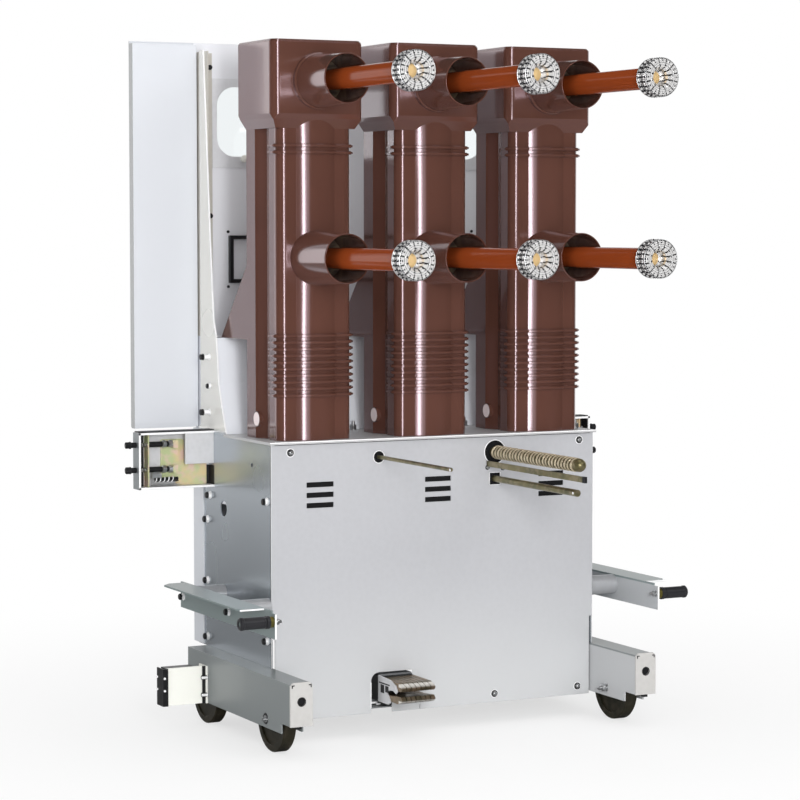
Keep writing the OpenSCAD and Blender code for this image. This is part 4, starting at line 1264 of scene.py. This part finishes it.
# %% Rail bolts, pin nuts and edges
(rx0, ry0, rz0), (rx1, __, rz1) = box_mm("rail_left")
__, pin_y, pin_z = sum(box_mm("roller_left"), Vector()) / 2
RAIL_SHEET = 4
RAIL_BOLT_Z = 298
web_out = rx1 - RAIL_SHEET
rail_places = mirrored(LEFT, *[(web_out, y, RAIL_BOLT_Z) for y in (338, 63.5)])
fasten("rail_collars", COLLAR, rail_places, "white_edge")
fasten("rail_bolts", CAP, rail_places, "black_steel", seed=15)
pin_places = mirrored(RIGHT, (rx1, pin_y, pin_z))
fasten("pin_washers", WASHER, pin_places, "blackened")
fasten("pin_nuts", NUT, pin_places, seed=16)
fasten("pin_sleeves", turned((0, 12.2), (9.4, 12.2)),
       mirrored(LEFT, (web_out, pin_y, pin_z)), "olive_film")
strips("rail_edges", both(
    ((rx0 + 20, ry0 + 58.4, rz1 - RAIL_SHEET), (rx1, ry0 + 59, rz1)),
    ((rx1 - RAIL_SHEET, ry0 - PROUD, rz0), (rx1, ry0, rz1 - 6))), "white_edge", SEAM_BEVEL)

# %% [markdown]
# ## Wheel axles and beam ends
# On the outer face of each beam the axle lies in a recess, its shade painted by a black disc; on
# the inner face it carries a nut. The pale end plate is welded in, and black strips paint the shade
# of the gaps at its two upper corners and of a hole near its foot.

# %% Axle ends and end plates
beam_low, beam_high = box_mm("chassis_beam_left")
axle_low, axle_high = box_mm("wheel_axles")
axle_r = (axle_high.z - axle_low.z) / 2
axle_z = (axle_low.z + axle_high.z) / 2
STUB_OFFSET = -4


def axle_places(direction, x, offset=0):
    """Places at the ends of both axles, on both beams."""
    ends = (axle_low.y + axle_r, axle_high.y - axle_r)
    return mirrored(direction, *[(x, y + offset, axle_z) for y in ends])


# A black disc in each axle recess: painted shade.
fasten("axle_recesses", turned((0, 13), (0.8, 12.4)), axle_places(LEFT, beam_low.x), "blackened")
fasten("axle_stubs", turned((0, 8), (3, 8), (3, 4.4), (9, 4.4), (10, 3.4)),
       axle_places(LEFT, beam_low.x, STUB_OFFSET), seed=17)
fasten("axle_nuts", NUT, axle_places(RIGHT, beam_high.x), size=1.3, seed=18)
end_low, end_high = box_mm("beam_end_plates")
end_y = end_low.y
nose_x = (beam_low.x + beam_high.x) / 2
nose_z = end_low.z + 55
fasten("nose_discs", turned((0, 8.4), (0.6, 8.4)), mirrored(ARM_SIDE, (nose_x, end_y + 3, nose_z)),
       "black_steel")
fasten("nose_rims", hoop(9.6, 0.9, 32), mirrored(ARM_SIDE, (nose_x, end_y, nose_z)), "blackened")
gap_y = end_y - 0.3
gap_top = end_high.z - 5
gaps = []
for width, drop in ((2.6, 7), (7, 2.4)):
    low_z = gap_top - drop
    left_x = beam_low.x + 3
    right_x = beam_high.x - 3
    gaps += [((left_x, gap_y, low_z), (left_x + width, end_y, gap_top)),
             ((right_x - width, gap_y, low_z), (right_x, end_y, gap_top))]
foot_hole = ((beam_low.x + 18, end_y + 6, 71), (beam_low.x + 30, end_y + 16, 79))
# Black strips in the corner gaps and the foot hole: painted shade.
strips("end_gaps", both(*gaps, foot_hole), "blackened", 0)

# %% [markdown]
# ## Stop bracket
# The pale stop plate hangs on two bright pins in front of its black strip, and pale screw heads
# dot the black column at its free end.

# %% Stop pins and screws
stop_low, stop_high = box_mm("stop_bracket")
column_low, column_high = box_mm("stop_columns")
PIN_ZS = (117, 76)
DOT_ZS = (121, 92)
fasten("stop_pins", turned((0, 3), (14, 3)),
       facing(LEFT, *[(stop_high.x - 2, stop_low.y - 4, z) for z in PIN_ZS]), "white_edge")
fasten("stop_pin_seats", turned((0, 5), (12, 5)),
       facing(LEFT, *[(stop_high.x - 3, stop_low.y, z) for z in PIN_ZS]), "blackened")
dot_places = facing(ARM_SIDE, *[(column_low.x + 4, column_low.y, z) for z in DOT_ZS])
dot_places += facing(LEFT, *[(column_low.x, column_high.y - 5, z) for z in DOT_ZS])
fasten("stop_dots", SMALL_PAN, dot_places, "white_edge", size=SMALLER, seed=19)

# %% [markdown]
# ## Earth contact
# A silver cheek guards the side of the sprung earth fingers, and a pale plate closes the part of
# the opening below them. Black strips on the cheek paint the shade in the gaps between its leaves.

# %% Earth contact cheek and guard
earth_low, __ = box_mm("earth_fingers")
cheek_x = earth_low.x
outer_x = cheek_x - 3
CHEEK = [(-8, 138), (-70, 135), (-98, 126), (-106, 114), (-100, 108), (-84, 113), (-60, 110),
         (-52, 104), (-60, 98), (-72, 84), (-60, 77), (-8, 77)]
SHADE = [(-8, 138), (30, 138), (30, 77), (-8, 77)]


def upright_plate(name, outline, x_range, slot):
    """Flat plate from a (y, z) outline, between two x values."""
    keep(name, prisms([[(x, y, z) for y, z in outline] for x in x_range]), slot)


upright_plate("earth_cheek", CHEEK, (outer_x, cheek_x), "channel_zinc")
# Black strips in the cheek's slots: painted shade.
strips("earth_cheek_slots", [
    ((outer_x - PROUD, y0, z0), (outer_x, y1, z1))
    for y0, z0, y1, z1 in ((-62, 104, -46, 119), (-40, 100, -22, 119), (-68, 121, -14, 124))],
    "blackened", 0)
upright_plate("earth_shade", SHADE, (outer_x, cheek_x - 0.5), "blackened")
strips("earth_guard", [((-118, face - 2, 50), (-46, face - 0.4, 84)),
                       ((-64, face + 0.4, 60), (-42, face + 1.6, 146))], "cover_zinc")
# A white strip on the opening's edge: painted highlight.
strips("earth_opening_edge", [((-172, face - 0.5, 62), (-169.8, face, 122))], "white_edge",
       SEAM_BEVEL)
strips("earth_glint", [((-160, 20, 66), (-140, 22, 71)), ((-143, 20, 62), (-132, 22, 67))],
       "white_edge")
